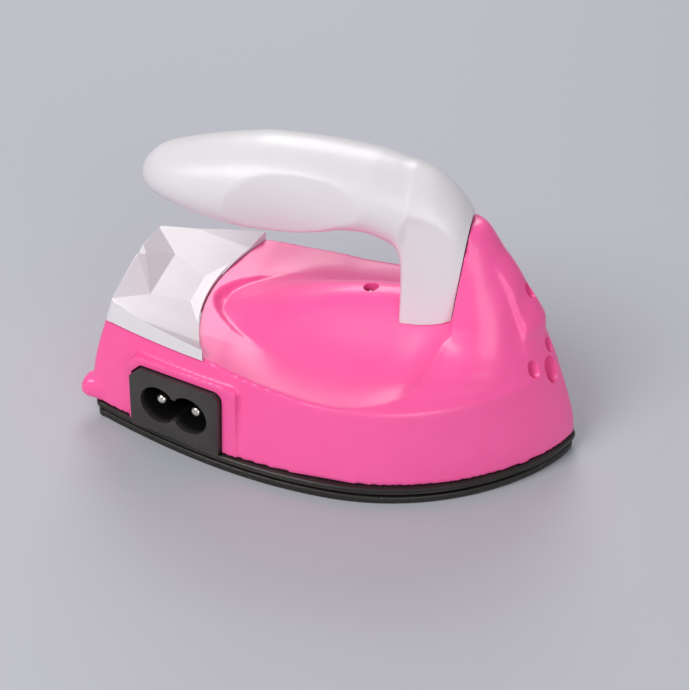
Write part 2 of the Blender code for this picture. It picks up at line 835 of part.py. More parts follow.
def shell():
    """The pink moulding: flanks, horn, sunk deck, shelf for the rear cap, inlet boss, feet, vents."""
    crease_level = height * stem_crease_share
    made = shell_loft("upper_shell", 0.0, 0.0, height)
    for side in (1, -1):
        join(made, heel_foot(side))
    cut(made, above_deck("deck_cutter"))
    cut(made, behind_arc("cap_cutter", seam_height - seat_gap, height + overrun))
    inner = shell_loft("shelf_cutter", wall, overrun, height)
    keep_common(inner, behind_arc("shelf_reach", shelf_height, seam_height + overrun, seat_gap))
    cut(made, inner)
    join(made, nose_shield())
    cut(made, shell_cavity())
    join(made, inlet_boss())
    for side in (1, -1):
        centre = (handle_screw_station, side * handle_screw_offset)
        top = deck_height(handle_screw_station, handle_screw_offset + handle_boss_radius) - wall / 2
        join(made, cylinder("screw_boss", centre, handle_boss_radius, handle_boss_bottom, top))
    cut(made, inlet_pocket())
    for side in (1, -1):
        centre = (handle_screw_station, side * handle_screw_offset)
        bore = screw_radius + screw_clearance
        cut(made, cylinder("screw_bore", centre, bore, shell_bottom, crease_level))
        centre = shell_screw_place(side)
        cut(made, cylinder("shell_screw_bore", centre, bore, shelf_height - wall * 2, seam_height))
        sink = screw_head_radius + screw_clearance
        cut(made, cylinder("shell_screw_sink", centre, sink, shell_screw_seat(), seam_height))
    lamp_floor = stem_seat(lamp_x) - lamp_height * 2
    cut(made, cylinder("lamp_bore", (lamp_x, 0), lamp_hole_radius, lamp_floor, crease_level))
    for vent in vents:
        cut(made, vent_bore(*vent))
    return made


def deck_height(x, y):
    return along(deck_row(x), abs(y), 1)


def stem_seat(x):
    return deck_height(x, 0)


def shell_screw_place(side):
    return (rear_edge_share * half_length + post_inset, side * post_offset)


def shell_screw_seat():
    return shelf_height - screw_head_height


def shell_cavity():
    inner = shell_loft("cavity", wall, overrun, height - wall)
    cut(inner, above_deck("cavity_roof", wall, horn_back + wall))
    cut(inner, behind_arc("cavity_shelf", shelf_height - shelf_thickness, height + overrun, -wall))
    return inner


def heel_foot(side):
    rear_x = rear_edge_share * half_length
    middle = side * heel_side_share * half_width
    low = shell_bottom
    rings = []
    for out_share, across_share, tall_share in heel_shares:
        x = rear_x - heel_length * out_share
        half = heel_half_width * across_share
        top = low + heel_height * tall_share
        bottom = low + heel_height * (1 - tall_share) / 2
        points = []
        for i in range(grip_sides // 2):
            turn = 4 * math.pi * i / grip_sides
            across = math.copysign(abs(math.cos(turn)) ** heel_square_share, math.cos(turn))
            up = math.copysign(abs(math.sin(turn)) ** heel_square_share, math.sin(turn))
            z = (top + bottom) / 2 + (top - bottom) / 2 * up
            points.append(Vector((x, middle + half * across, z)))
        rings.append(points)
    return loft("heel_foot", rings)


def nose_shield():
    """A raised shield on the nose: the shell's own form grown a little, within a pointed outline."""
    rings = []
    for shares in flank_shares:
        level = shares[0] * height
        if level < shield_rows[0] * height:
            continue
        station, half, nose, rear = shares[1:]
        nose += along(shield_fade_shares, shares[0], 1) * shield_step / half_length
        half += along(shield_fade_shares, shares[0], 2) * shield_side / half_width
        rings.append(shell_ring(level, 0.0, (shares[0], station, half, nose, rear)))
    made = loft("nose_shield", rings)
    outline = [(y * half_width, z * height) for y, z in shield_outline_shares]
    outline += [(-y, z) for y, z in reversed(outline[:-1]) if y > 0]
    ends = [[Vector((x, y, z)) for y, z in outline] for x in (horn_back + wall * 2, half_length + overrun)]
    return keep_common(made, loft("shield_outline", ends))


def inlet_boss():
    outline = (
        (-boss_rear, shell_bottom),
        (boss_front, shell_bottom),
        (boss_front, boss_top - wall / 2),
        (boss_front - wall / 2, boss_top),
        (-boss_rear + inlet_corner, boss_top),
        (-boss_rear, boss_top - inlet_corner),
    )
    return inlet_prism("inlet_boss", outline, boss_set_back, boss_set_back + boss_depth)


def inlet_pocket():
    grow = seat_gap
    made = inlet_prism("inlet_pocket", inlet_outline(grow), -overrun, inlet_flange + grow)
    body = inlet_body_outline(grow)
    return join(made, inlet_prism("inlet_body_pocket", body, 0, inlet_flange + inlet_body_depth + overrun))


def inlet_body_outline(grow=0.0):
    half = inlet_width / 2 - inlet_body_inset + grow
    low = inlet_bottom + inlet_body_inset - grow
    high = inlet_top - inlet_body_inset + grow
    cut_corner = ((-half + inlet_corner, high), (-half, high - inlet_corner))
    return ((-half, low), (half, low), (half, high)) + cut_corner


def vent_bore(name, across, level, radius):
    """A bore through the nose wall, square to the ridge's slope."""
    made = cylinder("vent_" + name, (0, 0), radius, -vent_depth, vent_depth, sides=vent_sides)
    turn = Matrix.Rotation(math.pi / 2 - vent_tilt, 4, "Y") @ Matrix.Scale(vent_narrow_share, 4, (0, 1, 0))
    return place(made, Matrix.Translation((nose_at(level, across), across, level)) @ turn)


def nose_at(level, across):
    """Place of the nose's surface at a level and a side offset."""
    station, half, nose = (along(flank_shares, level / height, column) for column in (1, 2, 3))
    turn = (abs(across) / (half * half_width)) ** (1 / nose_bow_share)
    return (station + (nose - station) * math.sqrt(1 - turn * turn)) * half_length


def rear_cap():
    made = shell_loft("rear_cap", 0.0, 0.0, height)
    keep_common(made, behind_arc("cap_reach", seam_height, height + overrun / 2, seat_gap))
    plug = shell_loft("cap_plug", wall + seat_gap, overrun, height)
    keep_common(plug, behind_arc("plug_reach", shelf_height + seat_gap, seam_height + wall, seat_gap * 2))
    join(made, plug)
    cut(made, above_cap("cap_facets"))
    made.data.materials.clear()
    made.data.materials.append(finish_material("white_shell"))
    return made


def grip_ring(x, level, half, tall):
    points = []
    for i in range(grip_sides):
        turn = math.pi / 2 - 2 * math.pi * i / grip_sides
        power = 1 / grip_square_share
        across = math.copysign(abs(math.cos(turn)) ** power, math.cos(turn))
        up = math.copysign(abs(math.sin(turn)) ** power, math.sin(turn))
        points.append(Vector((x, half * across, level + tall * up)))
    return points


def stem_ring(x, top, half, foot_half):
    """A section through the stem: round on top like the grip, then straight down to the foot."""
    quarter = grip_sides // 4
    crease = stem_crease_share * height
    down = []
    for i in range(1, quarter + 1):
        turn = math.pi / 2 * i / quarter
        down.append((half * math.sin(turn), top - (top - crease) * (1 - math.cos(turn))))
    low_steps = grip_sides // 2 - quarter - 1
    for i in range(1, low_steps + 1):
        part = i / low_steps
        across = half + (foot_half - half) * math.sin(part * math.pi / 2) ** foot_bow_share
        down.append((across, crease + (stem_bottom - crease) * part))
    points = [Vector((x, 0, top))]
    points += [Vector((x, y, z)) for y, z in down]
    points.append(Vector((x, 0, stem_bottom)))
    points += [Vector((x, -y, z)) for y, z in reversed(down)]
    return points


def handle():
    rings = []
    for station, level, half, tall in grip_shares:
        rings.append(grip_ring(station * half_length, level * height, half * half_width, tall * height))
    for station, top, half, foot_half in stem_shares:
        sizes = (top * height, half * half_width, foot_half * half_width)
        rings.append(stem_ring(station * half_length, *sizes))
    made = loft("handle", rings, "white_shell")
    for side in (1, -1):
        cut(made, finger_flat(side))
    deck = sheet_solid("deck_below", raised(deck_points(0.0, horn_back + overrun * 2), seat_gap), 0.0)
    cut(made, deck)
    cut(made, horn_space())
    for side in (1, -1):
        centre = (handle_screw_station, side * handle_screw_offset)
        top = handle_boss_bottom + handle_screw_length + seat_gap
        cut(made, cylinder("pilot", centre, screw_radius + screw_clearance / 2, stem_bottom - overrun, top))
    return made


def raised(rows, rise):
    return [[point + Vector((0, 0, rise)) for point in row] for row in rows]


def horn_space():
    """Everything in front of the horn's leaning back face, with the seat gap."""
    foot = stem_seat(horn_back)
    top = height + overrun
    low = stem_bottom - overrun
    rings = []
    for y in (-half_width, half_width):
        front = half_length
        lower = horn_back - seat_gap + horn_lean * (low - foot)
        upper = horn_back - seat_gap + horn_lean * (top - foot)
        corners = ((lower, low), (front, low), (front, top), (upper, top))
        rings.append([Vector((x, y, z)) for x, z in corners])
    return loft("horn_space", rings)


def finger_flat(side):
    """A shallow flat on the lower flank of the grip, for the fingers that curl under it."""
    middle = (finger_flat_start + finger_flat_end) / 2
    reach = (finger_flat_end - finger_flat_start) / 2
    outline = []
    for i in range(finger_flat_steps + 1):
        share = 2 * i / finger_flat_steps - 1
        outline.append((middle + reach * share, finger_flat_depth * (share * share - 1)))
    outline += [(middle + reach, overrun * 3), (middle - reach, overrun * 3)]
    rings = []
    for span in (-finger_flat_half, finger_flat_half):
        rings.append([Vector((x, out, span)) for x, out in outline])
    made = loft("finger_flat", rings)
    turn = Matrix.Rotation(-finger_flat_tilt, 4, "X")
    place(made, Matrix.Translation((0, finger_flat_offset, finger_flat_level)) @ turn)
    if side < 0:
        place(made, Matrix.Scale(-1, 4, (0, 1, 0)))
        made.data.flip_normals()
    return made


def soleplate():
    made = base_prism("soleplate", lip_inset, 0.0, lip_height, "black_coating")
    join(made, base_prism("block", block_inset, lip_height / 2, block_top))
    holes = [(x, y, sole_screw_length) for x, y in sole_screw_places()]
    holes += [(x, 0, clamp_screw_length + clamp_sheet) for x in clamp_screw_places()]
    bore = screw_radius + screw_clearance / 2
    for x, y, depth in holes:
        low = block_top - depth + clamp_sheet
        cut(made, cylinder("thread", (x, y), bore, low, block_top + overrun))
    for x, y in (clip_screw_place(1), clip_screw_place(-1)):
        bore = small_screw_radius + screw_clearance / 2
        cut(made, cylinder("thread", (x, y), bore, block_top - small_screw_length, block_top + overrun))
    return made


def sole_screw_places():
    return (
        (rear_sole_screw_x, rear_sole_screw_y),
        (rear_sole_screw_x, -rear_sole_screw_y),
        (nose_sole_screw_x, 0),
    )


def base_frame():
    made = base_prism("base_frame", 0.0, groove_top, rim_top, "black_frame")
    join(made, base_prism("neck", groove_depth, frame_bottom, (groove_top + rim_top) / 2))
    cut(made, base_prism("frame_opening", frame_inner_inset, frame_bottom - overrun, rim_top + overrun))
    rear = rear_edge_share * half_length
    block_rear = rear + block_inset
    wall_front = block_rear - seat_gap * 1.5
    low = (rear + frame_inner_inset - wall, -rear_bridge_half, frame_bottom)
    join(made, block("rear_wall", low, (wall_front, rear_bridge_half, bridge_top)))
    low = (low[0], -rear_bridge_half, bridge_bottom)
    high = (block_rear + rear_bridge_reach, rear_bridge_half, bridge_top - seat_gap / 3)
    join(made, block("rear_bridge", low, high))
    block_nose = half_length - block_inset
    low = (block_nose + seat_gap * 1.5, -nose_bridge_half, frame_bottom)
    join(made, block("nose_wall", low, (block_nose + bridge_wall, nose_bridge_half, bridge_top)))
    low = (block_nose - nose_bridge_reach, -nose_bridge_half + seat_gap, bridge_bottom)
    high = (block_nose + bridge_wall / 2, nose_bridge_half - seat_gap, bridge_top - seat_gap / 3)
    join(made, block("nose_bridge", low, high))
    for side in (1, -1):
        centre = shell_screw_place(side)
        post_top = shelf_height - shelf_thickness - seat_gap
        join(made, cylinder("post", centre, post_radius, bridge_bottom + bridge_thickness / 2, post_top))
        low = shell_screw_seat() - shell_screw_length - seat_gap
        cut(made, cylinder("pilot", centre, screw_radius + screw_clearance / 2, low, shelf_height))
    for x, y in sole_screw_places():
        bore = screw_radius + screw_clearance
        cut(made, cylinder("screw_bore", (x, y), bore, frame_bottom, bridge_top + overrun))
    return made


def screw(name, place_on, seat, shank, radius=screw_radius, head=screw_head_radius,
          head_height=screw_head_height, upward=False):
    """A pan-head screw with a round driver recess; the shank runs down from its seat, or up when asked."""
    grown = head / screw_head_radius
    profile = (
        (0, -shank),
        (radius * screw_tip_share, -shank),
        (radius, -shank + radius),
        (radius, 0),
        (head, 0),
        (head, head_height * head_edge_share),
        (head * head_crown_share, head_height),
        (socket_radius * grown, head_height),
        (socket_radius * grown, head_height - socket_depth * grown),
        (0, head_height - socket_depth * grown),
    )
    made = turned(name, profile, "zinc_steel", small_sides)
    turn = Matrix.Rotation(math.pi, 4, "X") if upward else Matrix.Identity(4)
    return place(made, Matrix.Translation((place_on[0], place_on[1], seat)) @ turn)


def screws():
    seat = bridge_top
    for number, (x, y) in enumerate(sole_screw_places(), 1):
        screw(f"soleplate_screw_{number}", (x, y), seat, bridge_thickness + sole_screw_length - clamp_sheet)
    for number, side in enumerate((1, -1), 1):
        shell_seat = shell_screw_seat() + screw_clearance / 2
        screw(f"shell_screw_{number}", shell_screw_place(side), shell_seat, shell_screw_length)
        centre = (handle_screw_station, side * handle_screw_offset)
        handle_seat = handle_boss_bottom - seat_gap / 3
        screw(f"handle_screw_{number}", centre, handle_seat, handle_screw_length, upward=True)


def heater_top():
    return block_top + seat_gap + heater_height


def heating_plate():
    low = (heater_middle - heater_length / 2, -heater_width / 2, block_top + seat_gap)
    high = (heater_middle + heater_length / 2, heater_width / 2, heater_top())
    made = block("heating_plate", low, high, "heater_ceramic")
    bevel = made.modifiers.new("edge", "BEVEL")
    bevel.width = heater_edge
    bevel.segments = 2
    return made


def mica_sheet():
    reach = heater_length / 2 + mica_margin
    half = heater_width / 2 + mica_margin
    low = (heater_middle - reach, -half, heater_top() + seat_gap)
    return block("mica_sheet", low, (heater_middle + reach, half, low[2] + mica_height), "mica")


def clamp_screw_places():
    out = heater_length / 2 + mica_margin + seat_gap + clamp_sheet + clamp_foot / 2
    return (heater_middle - out, heater_middle + out)


def clamp():
    """A steel strap over the heating plate, bent down to a screwed foot at each end."""
    top = heater_top() + seat_gap * 2 + mica_height + clamp_sheet
    under = top - clamp_sheet
    low = block_top + seat_gap
    inner = heater_length / 2 + mica_margin + seat_gap
    outer = inner + clamp_sheet
    foot = outer + clamp_foot
    span = clamp_width / 2
    high = (heater_middle + foot, span, top)
    made = block("heater_clamp", (heater_middle - foot, -span, low), high, "zinc_steel")
    opening_low = (heater_middle - inner, -clamp_width, low - overrun)
    cut(made, block("under_strap", opening_low, (heater_middle + inner, clamp_width, under)))
    for side in (1, -1):
        ends = sorted((heater_middle + side * outer, heater_middle + side * (foot + overrun)))
        step_low = (ends[0], -clamp_width, low + clamp_sheet)
        cut(made, block("over_foot", step_low, (ends[1], clamp_width, top + overrun)))
    for number, x in enumerate(clamp_screw_places(), 1):
        bore = screw_radius + screw_clearance
        cut(made, cylinder("clamp_bore", (x, 0), bore, 0, low + clamp_sheet + overrun))
        screw(f"clamp_screw_{number}", (x, 0), low + clamp_sheet + screw_clearance / 2, clamp_screw_length)
    return made


def thermostat():
    reach = thermostat_length / 2
    half = thermostat_width / 2
    low = (thermostat_x - reach, thermostat_y - half, block_top + seat_gap)
    high = (thermostat_x + reach, thermostat_y + half, low[2] + thermostat_height)
    made = block("thermostat", low, high, "zinc_steel")
    bevel = made.modifiers.new("edge", "BEVEL")
    bevel.width = heater_edge
    bevel.segments = 2
    return made


def clip_screw_place(side):
    """Place of the screw beside the thermostat on the far side, or beside the fuse on the near side."""
    if side > 0:
        return (thermostat_x, thermostat_y - thermostat_width / 2 - clip_sheet - clip_foot / 2)
    return (fuse_x, fuse_y + sleeve_radius + clip_sheet + clip_foot / 2)


def clip(name, x, outer, inner, top, foot_end):
    """A thin strap over a round or square body: a hook over its outer side and one screwed foot inside."""
    low = block_top + seat_gap
    way = 1 if foot_end > inner else -1
    span = clip_width / 2
    near, far = sorted((outer, foot_end))
    made = block(name, (x - span, near, low), (x + span, far, top + clip_sheet), "zinc_steel")
    near, far = sorted((outer + way * clip_sheet, inner))
    cut(made, block("under_hook", (x - clip_width, near, low - overrun), (x + clip_width, far, top)))
    near, far = sorted((inner + way * clip_sheet, foot_end + way * overrun))
    high = (x + clip_width, far, top + overrun)
    cut(made, block("over_foot", (x - clip_width, near, low + clip_sheet), high))
    return made


def clips():
    far = clip_screw_place(1)
    near = clip_screw_place(-1)
    reach = clip_foot / 2
    edge = seat_gap
    body = thermostat_width / 2 + edge
    made = clip("thermostat_clip", far[0], thermostat_y + body + clip_sheet, thermostat_y - body,
                block_top + seat_gap * 2 + thermostat_height, far[1] - reach)
    low = block_top + seat_gap
    bore = small_screw_radius + screw_clearance
    cut(made, cylinder("clip_bore", far, bore, 0, low + clip_sheet + seat_gap))
    body = sleeve_radius + edge
    made = clip("fuse_clip", near[0], fuse_y - body - clip_sheet, fuse_y + body,
                block_top + seat_gap * 2 + sleeve_radius * 2, near[1] + reach)
    cut(made, cylinder("clip_bore", near, bore, 0, low + clip_sheet + seat_gap))
    for name, spot in (("thermostat_clip_screw", far), ("fuse_clip_screw", near)):
        screw(name, spot, low + clip_sheet + screw_clearance / 2, small_screw_length, small_screw_radius,
              small_head_radius, small_head_height)


def lying(made, x, y, z):
    """Lay a body made about the Z axis along the press."""
    return place(made, Matrix.Translation((x, y, z)) @ Matrix.Rotation(math.pi / 2, 4, "Y"))


def fuse_level():
    return block_top + seat_gap + sleeve_radius


def thermal_fuse():
    """A fuse with its two wires, inside a glass-fibre sleeve."""
    reach = sleeve_length / 2
    made = cylinder("fuse_sleeve", (0, 0), sleeve_radius, -reach, reach, "glass_fibre")
    cut(made, cylinder("sleeve_bore", (0, 0), sleeve_bore, -reach - overrun, reach + overrun))
    lying(made, fuse_x, fuse_y, fuse_level())
    end = reach + fuse_wire_reach
    body = fuse_length / 2
    profile = [(0, -end), (fuse_lead_radius, -end), (fuse_lead_radius, -body), (fuse_radius, -body)]
    profile += [(fuse_radius, body * fuse_case_share), (fuse_lead_radius, body)]
    profile += [(fuse_lead_radius, end), (0, end)]
    return lying(turned("thermal_fuse", profile, "fuse_case", small_sides), fuse_x, fuse_y, fuse_level())


def spots(route):
    """Points of a route, from its shares of the half length, half width and height."""
    return [(x * half_length, y * half_width, z * height) for x, y, z in route]


def inlet_point(across, depth, level):
    return tuple(inlet_matrix() @ Vector((across, depth, level)))


def smooth_route(points):
    """Points of a smooth curve through the route's own points."""
    ends = [points[0]] + list(points) + [points[-1]]
    route = []
    for a, b, c, d in zip(ends, ends[1:], ends[2:], ends[3:]):
        a, b, c, d = (Vector(point) for point in (a, b, c, d))
        for i in range(lead_step_count):
            t = i / lead_step_count
            route.append(0.5 * (2 * b + (c - a) * t + (2 * a - 5 * b + 4 * c - d) * t ** 2
                                + (3 * b - a - 3 * c + d) * t ** 3))
    route.append(Vector(points[-1]))
    return route


def lead(name, points, radius, finish):
    """An insulated wire along its route, as a curve with round section and closed ends."""
    curve = bpy.data.curves.new(name, "CURVE")
    curve.dimensions = "3D"
    spline = curve.splines.new("POLY")
    route = smooth_route(points)
    spline.points.add(len(route) - 1)
    for point, spot in zip(spline.points, route):
        point.co = (*spot, 1)
    curve.bevel_depth = radius
    curve.bevel_resolution = lead_bevel_steps
    curve.use_fill_caps = True
    curve.materials.append(finish_material(finish))
    made = bpy.data.objects.new(name, curve)
    bpy.context.scene.collection.objects.link(made)
    return made


def leads():
    """The wires held inside: inlet to thermostat and fuse, on to the heating plate, and the lamp's pair."""
    tail = inlet_flange + inlet_body_depth + pin_tail + seat_gap
    level = block_top + seat_gap + thermostat_height / 2
    rear_end = thermostat_x - thermostat_length / 2 - seat_gap
    front_end = thermostat_x + thermostat_length / 2 + seat_gap
    side = heater_width / 2 + seat_gap
    plate = block_top + seat_gap + heater_height / 2
    live = inlet_point(pin_spacing / 2, tail, inlet_middle)
    neutral = inlet_point(-pin_spacing / 2, tail, inlet_middle)
    live_end = (rear_end, thermostat_y, level)
    lead("live_lead", [live, *spots(live_route), live_end], lead_radius, "lead_brown")
    fuse_end = sleeve_length / 2 + fuse_wire_reach + seat_gap * 2
    neutral_end = (fuse_x - fuse_end, fuse_y, fuse_level())
    lead("neutral_lead", [neutral, *spots(neutral_route), neutral_end], lead_radius, "lead_blue")
    link_start = (front_end, thermostat_y, level)
    heater_end = (heater_lead_x, side, plate)
    link = [link_start, *spots(live_link_route), heater_end]
    lead("heater_lead_live", link, lamp_lead_radius, "lead_white")
    link_start = (fuse_x + fuse_end, fuse_y, fuse_level())
    heater_end = (heater_lead_x, -side, plate)
    link = [link_start, *spots(neutral_link_route), heater_end]
    lead("heater_lead_neutral", link, lamp_lead_radius, "lead_white")


def lamp_circuit():
    """The lamp's series resistor and its two thin wires."""
    base = stem_seat(lamp_x) - lamp_below_deck - lamp_height
    foot = base - seat_gap
    apart = lamp_flange_radius / 2
    top = resistor_level + resistor_length / 2
    bottom = resistor_level - resistor_length / 2
    made = cylinder("lamp_resistor", (resistor_x, resistor_y), resistor_radius, bottom, top, "resistor_body")
    bevel = made.modifiers.new("ends", "BEVEL")
    bevel.width = heater_edge / 2
    bevel.segments = 2
    above = [(lamp_x, apart, foot), *spots(lamp_live_route), (resistor_x, resistor_y, top + seat_gap)]
    lead("lamp_lead_live", above, lamp_lead_radius, "lead_white")
    target = block_top + seat_gap + thermostat_height + seat_gap
    below = [(resistor_x, resistor_y, bottom - seat_gap), *spots(resistor_route)]
    below.append((thermostat_tap_x, thermostat_y, target))
    lead("resistor_lead", below, lamp_lead_radius, "lead_white")
    wire = fuse_level() + fuse_lead_radius + seat_gap
    tap = fuse_x + (sleeve_length + fuse_wire_reach) / 2
    route = [(lamp_x, -apart, foot), *spots(lamp_neutral_route), (tap, fuse_y, wire)]
    lead("lamp_lead_neutral", route, lamp_lead_radius, "lead_white")


def inlet():
    """The socket that takes a figure-8 lead: flange, body, recess and two pins."""
    made = inlet_prism("inlet_housing", inlet_outline(), 0.0, inlet_flange, "inlet_black")
    depth = inlet_flange + inlet_body_depth
    join(made, inlet_prism("inlet_body", inlet_body_outline(), inlet_flange / 2, depth))
    cut(made, inlet_prism("recess", figure_eight(), -overrun, depth - inlet_back_wall))
    for side in (1, -1):
        bore = pin_disc(side, pin_radius + screw_clearance / 2)
        cut(made, inlet_prism("pin_bore", bore, 0.0, depth + overrun))
        name = "inlet_pin_live" if side > 0 else "inlet_pin_neutral"
        inlet_prism(name, pin_disc(side, pin_radius), pin_sunk, depth + pin_tail, "plated_pin")
    return made


def pin_disc(side, radius):
    turns = [2 * math.pi * i / screw_sides for i in range(screw_sides)]
    middle = side * pin_spacing / 2
    return [(middle + radius * math.cos(a), inlet_middle + radius * math.sin(a)) for a in turns]


def lamp():
    top = stem_seat(lamp_x) - lamp_below_deck
    base = top - lamp_height
    rounded = lamp_radius
    profile = [(0, base), (lamp_flange_radius, base), (lamp_flange_radius, base + lamp_flange)]
    profile += [(lamp_radius, base + lamp_flange)]
    for i in range(corner_steps + 1):
        turn = math.pi / 2 * i / corner_steps
        profile.append((lamp_radius * math.cos(turn), top - rounded + rounded * math.sin(turn)))
    profile[-1] = (0, top)
    made = turned("indicator_lamp", profile, "lamp_red", lamp_sides)
    return place(made, Matrix.Translation((lamp_x, 0, 0)))


def lamp_holder():
    """A ring round the lamp, under the deck."""
    low = stem_seat(lamp_x) - lamp_below_deck - lamp_height + lamp_flange + seat_gap
    high = deck_height(lamp_x, holder_radius) - wall - seat_gap
    made = cylinder("lamp_holder", (lamp_x, 0), holder_radius, low, high, "holder_white", lamp_sides)
    bore = lamp_radius + seat_gap
    return cut(made, cylinder("holder_bore", (lamp_x, 0), bore, 0, height, sides=lamp_sides))


def build():
    clear_scene()
    soleplate()
    base_frame()
    shell()
    rear_cap()
    handle()
    inlet()
    heating_plate()
    mica_sheet()
    clamp()
    thermostat()
    clips()
    thermal_fuse()
    screws()
    lamp()
    lamp_holder()
    leads()
    lamp_circuit()


build()
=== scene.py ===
"""Looks of a mini handheld heat press: pink shell, white cap and handle, black coated sole and power inlet.

The nose points along +X, the near side with its inlet faces -Y, and the soleplate rests on Z = 0.
"""

import json
import math

import bmesh
import bpy
from mathutils import Matrix, Vector


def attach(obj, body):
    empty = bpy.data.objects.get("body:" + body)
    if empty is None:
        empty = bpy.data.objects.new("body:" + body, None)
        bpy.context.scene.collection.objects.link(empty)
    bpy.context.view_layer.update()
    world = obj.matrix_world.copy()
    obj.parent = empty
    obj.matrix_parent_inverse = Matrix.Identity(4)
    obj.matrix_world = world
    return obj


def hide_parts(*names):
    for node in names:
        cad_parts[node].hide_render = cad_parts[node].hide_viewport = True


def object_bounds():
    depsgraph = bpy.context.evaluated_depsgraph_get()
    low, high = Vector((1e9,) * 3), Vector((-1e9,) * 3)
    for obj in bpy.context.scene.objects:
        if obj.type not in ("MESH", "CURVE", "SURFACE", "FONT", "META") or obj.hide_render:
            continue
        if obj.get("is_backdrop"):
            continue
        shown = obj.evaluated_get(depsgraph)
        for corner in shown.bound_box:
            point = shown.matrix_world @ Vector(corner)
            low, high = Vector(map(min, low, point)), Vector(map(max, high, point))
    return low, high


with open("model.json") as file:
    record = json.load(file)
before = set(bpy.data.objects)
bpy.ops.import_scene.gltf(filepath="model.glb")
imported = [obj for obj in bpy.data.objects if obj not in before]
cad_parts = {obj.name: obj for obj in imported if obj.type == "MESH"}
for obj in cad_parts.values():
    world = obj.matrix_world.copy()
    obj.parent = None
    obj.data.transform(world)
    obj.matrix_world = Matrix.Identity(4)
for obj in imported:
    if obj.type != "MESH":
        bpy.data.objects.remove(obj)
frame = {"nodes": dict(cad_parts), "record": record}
cad_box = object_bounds()

mm = 0.001

# Overall sizes
length = 108.0 * mm
width = 63.0 * mm
height = 66.0 * mm
half_length = length / 2
half_width = width / 2
seat_gap = 0.3 * mm
horn_gap = 0.06 * mm
overrun = 3.0 * mm

# Plan outline of the base, as shares of its half length and half width
rear_edge_share = -0.935
rear_corner_share = 0.549
widest_share = 0.093
side_bow_share = 0.93
nose_bow_share = 1.5
corner_radius = 1.8 * mm
nose_steps = 44
side_steps = 36
corner_steps = 8
pinch_share = 0.1

# Soleplate and base frame
lip_height = 1.8 * mm
lip_inset = 0.3 * mm
block_inset = 8.0 * mm
block_top = 5.5 * mm
frame_bottom = lip_height + seat_gap
rim_top = 4.2 * mm
frame_inner_inset = 5.5 * mm
bridge_bottom = block_top + seat_gap
bridge_thickness = 1.6 * mm
bridge_top = bridge_bottom + bridge_thickness
bridge_wall = 3.4 * mm
rear_bridge_reach = 3.4 * mm
rear_bridge_half = 13.0 * mm
nose_bridge_reach = 8.0 * mm
nose_bridge_half = 4.2 * mm
post_radius = 3.0 * mm
post_offset = 5.0 * mm
post_inset = 8.0 * mm
screw_bore = 1.45 * mm
thread_bore = 1.35 * mm
small_thread_bore = 1.0 * mm
sole_screw_places = ((-40.39 * mm, 10.5 * mm), (-40.39 * mm, -10.5 * mm), (42.01 * mm, 0.0))
clamp_screw_places = ((-21.78 * mm, 0.0), (29.78 * mm, 0.0))
clip_screw_places = ((7.99 * mm, 12.51 * mm), (7.99 * mm, -13.41 * mm))
thread_depth = 3.4 * mm

# Profiles of the lip and of the frame from the bottom up: level and inset in mm
lip_profile = (
    (0.00, 0.75),
    (0.10, 0.50),
    (0.30, 0.34),
    (0.55, 0.30),
    (1.30, 0.30),
    (1.52, 0.34),
    (1.70, 0.48),
    (1.80, 0.72),
)
frame_profile = (
    (2.10, 1.50),
    (2.86, 1.50),
    (2.90, 0.34),
    (2.98, 0.10),
    (3.10, 0.00),
    (3.36, 0.00),
    (3.44, 0.12),
    (3.52, 0.00),
    (3.86, 0.00),
    (3.94, 0.10),
    (4.02, 0.00),
    (4.10, 0.06),
    (4.20, 0.30),
)
# The groove runs out towards the nose, between these shares of the half length
groove_end_shares = (0.70, 0.88)
groove_end_inset = 0.45 * mm
speck_seed = 7
speck_count = 420
speck_size = 0.16 * mm
speck_inset = 0.22 * mm
speck_sunk = 0.12 * mm
speck_scatter = 0.16 * mm
speck_flatness = 0.45
speck_smallest = 0.35
speck_rounds = 2
speck_draw_step = 1000.0
bead_radius = 0.14 * mm
bead_sides = 8
bead_inset = 0.10 * mm
bead_level = 3.02 * mm

# Upper shell: flank rows give level, station, half width, nose place and rear place as shares
shell_bottom = rim_top + seat_gap
shell_inset = 1.0 * mm
wall = 2.0 * mm
side_lean_share = 0.036
lean_height = 0.267 * height
flank_shares = (
    (0.068, 0.093, 0.968, 0.993, -0.948),
    (0.135, 0.093, 0.963, 0.979, -0.948),
    (0.200, 0.093, 0.955, 0.953, -0.941),
    (0.270, 0.093, 0.945, 0.921, -0.923),
    (0.335, 0.100, 0.933, 0.889, -0.901),
    (0.342, 0.228, 0.886, 0.886, -0.898),
    (0.355, 0.320, 0.794, 0.879, -0.893),
    (0.374, 0.380, 0.705, 0.869, -0.887),
    (0.397, 0.424, 0.571, 0.856, -0.878),
    (0.432, 0.454, 0.430, 0.834, -0.866),
    (0.462, 0.460, 0.356, 0.816, -0.855),
    (0.490, 0.463, 0.315, 0.797, -0.845),
    (0.511, 0.464, 0.290, 0.783, -0.838),
    (0.560, 0.466, 0.268, 0.745, -0.830),
    (0.609, 0.468, 0.252, 0.700, -0.830),
    (0.685, 0.473, 0.234, 0.651, -0.830),
    (0.750, 0.479, 0.212, 0.597, -0.830),
    (0.785, 0.484, 0.190, 0.565, -0.830),
    (0.800, 0.486, 0.148, 0.547, -0.830),
    (0.808, 0.488, 0.080, 0.533, -0.830),
)
station_column, half_column, nose_column, rear_column = range(1, 5)
flank_rows = 96
# How full the outline of the nose is at each level
bow_shares = ((0.068, 1.5), (0.335, 1.5), (0.418, 1.3), (0.511, 0.9), (0.808, 0.9))
nose_line = tuple((row[nose_column], row[0]) for row in reversed(flank_shares))
# The rows whose outlines meet the deck's rim, in front of the widest station
rim_rows = flank_shares[3:]
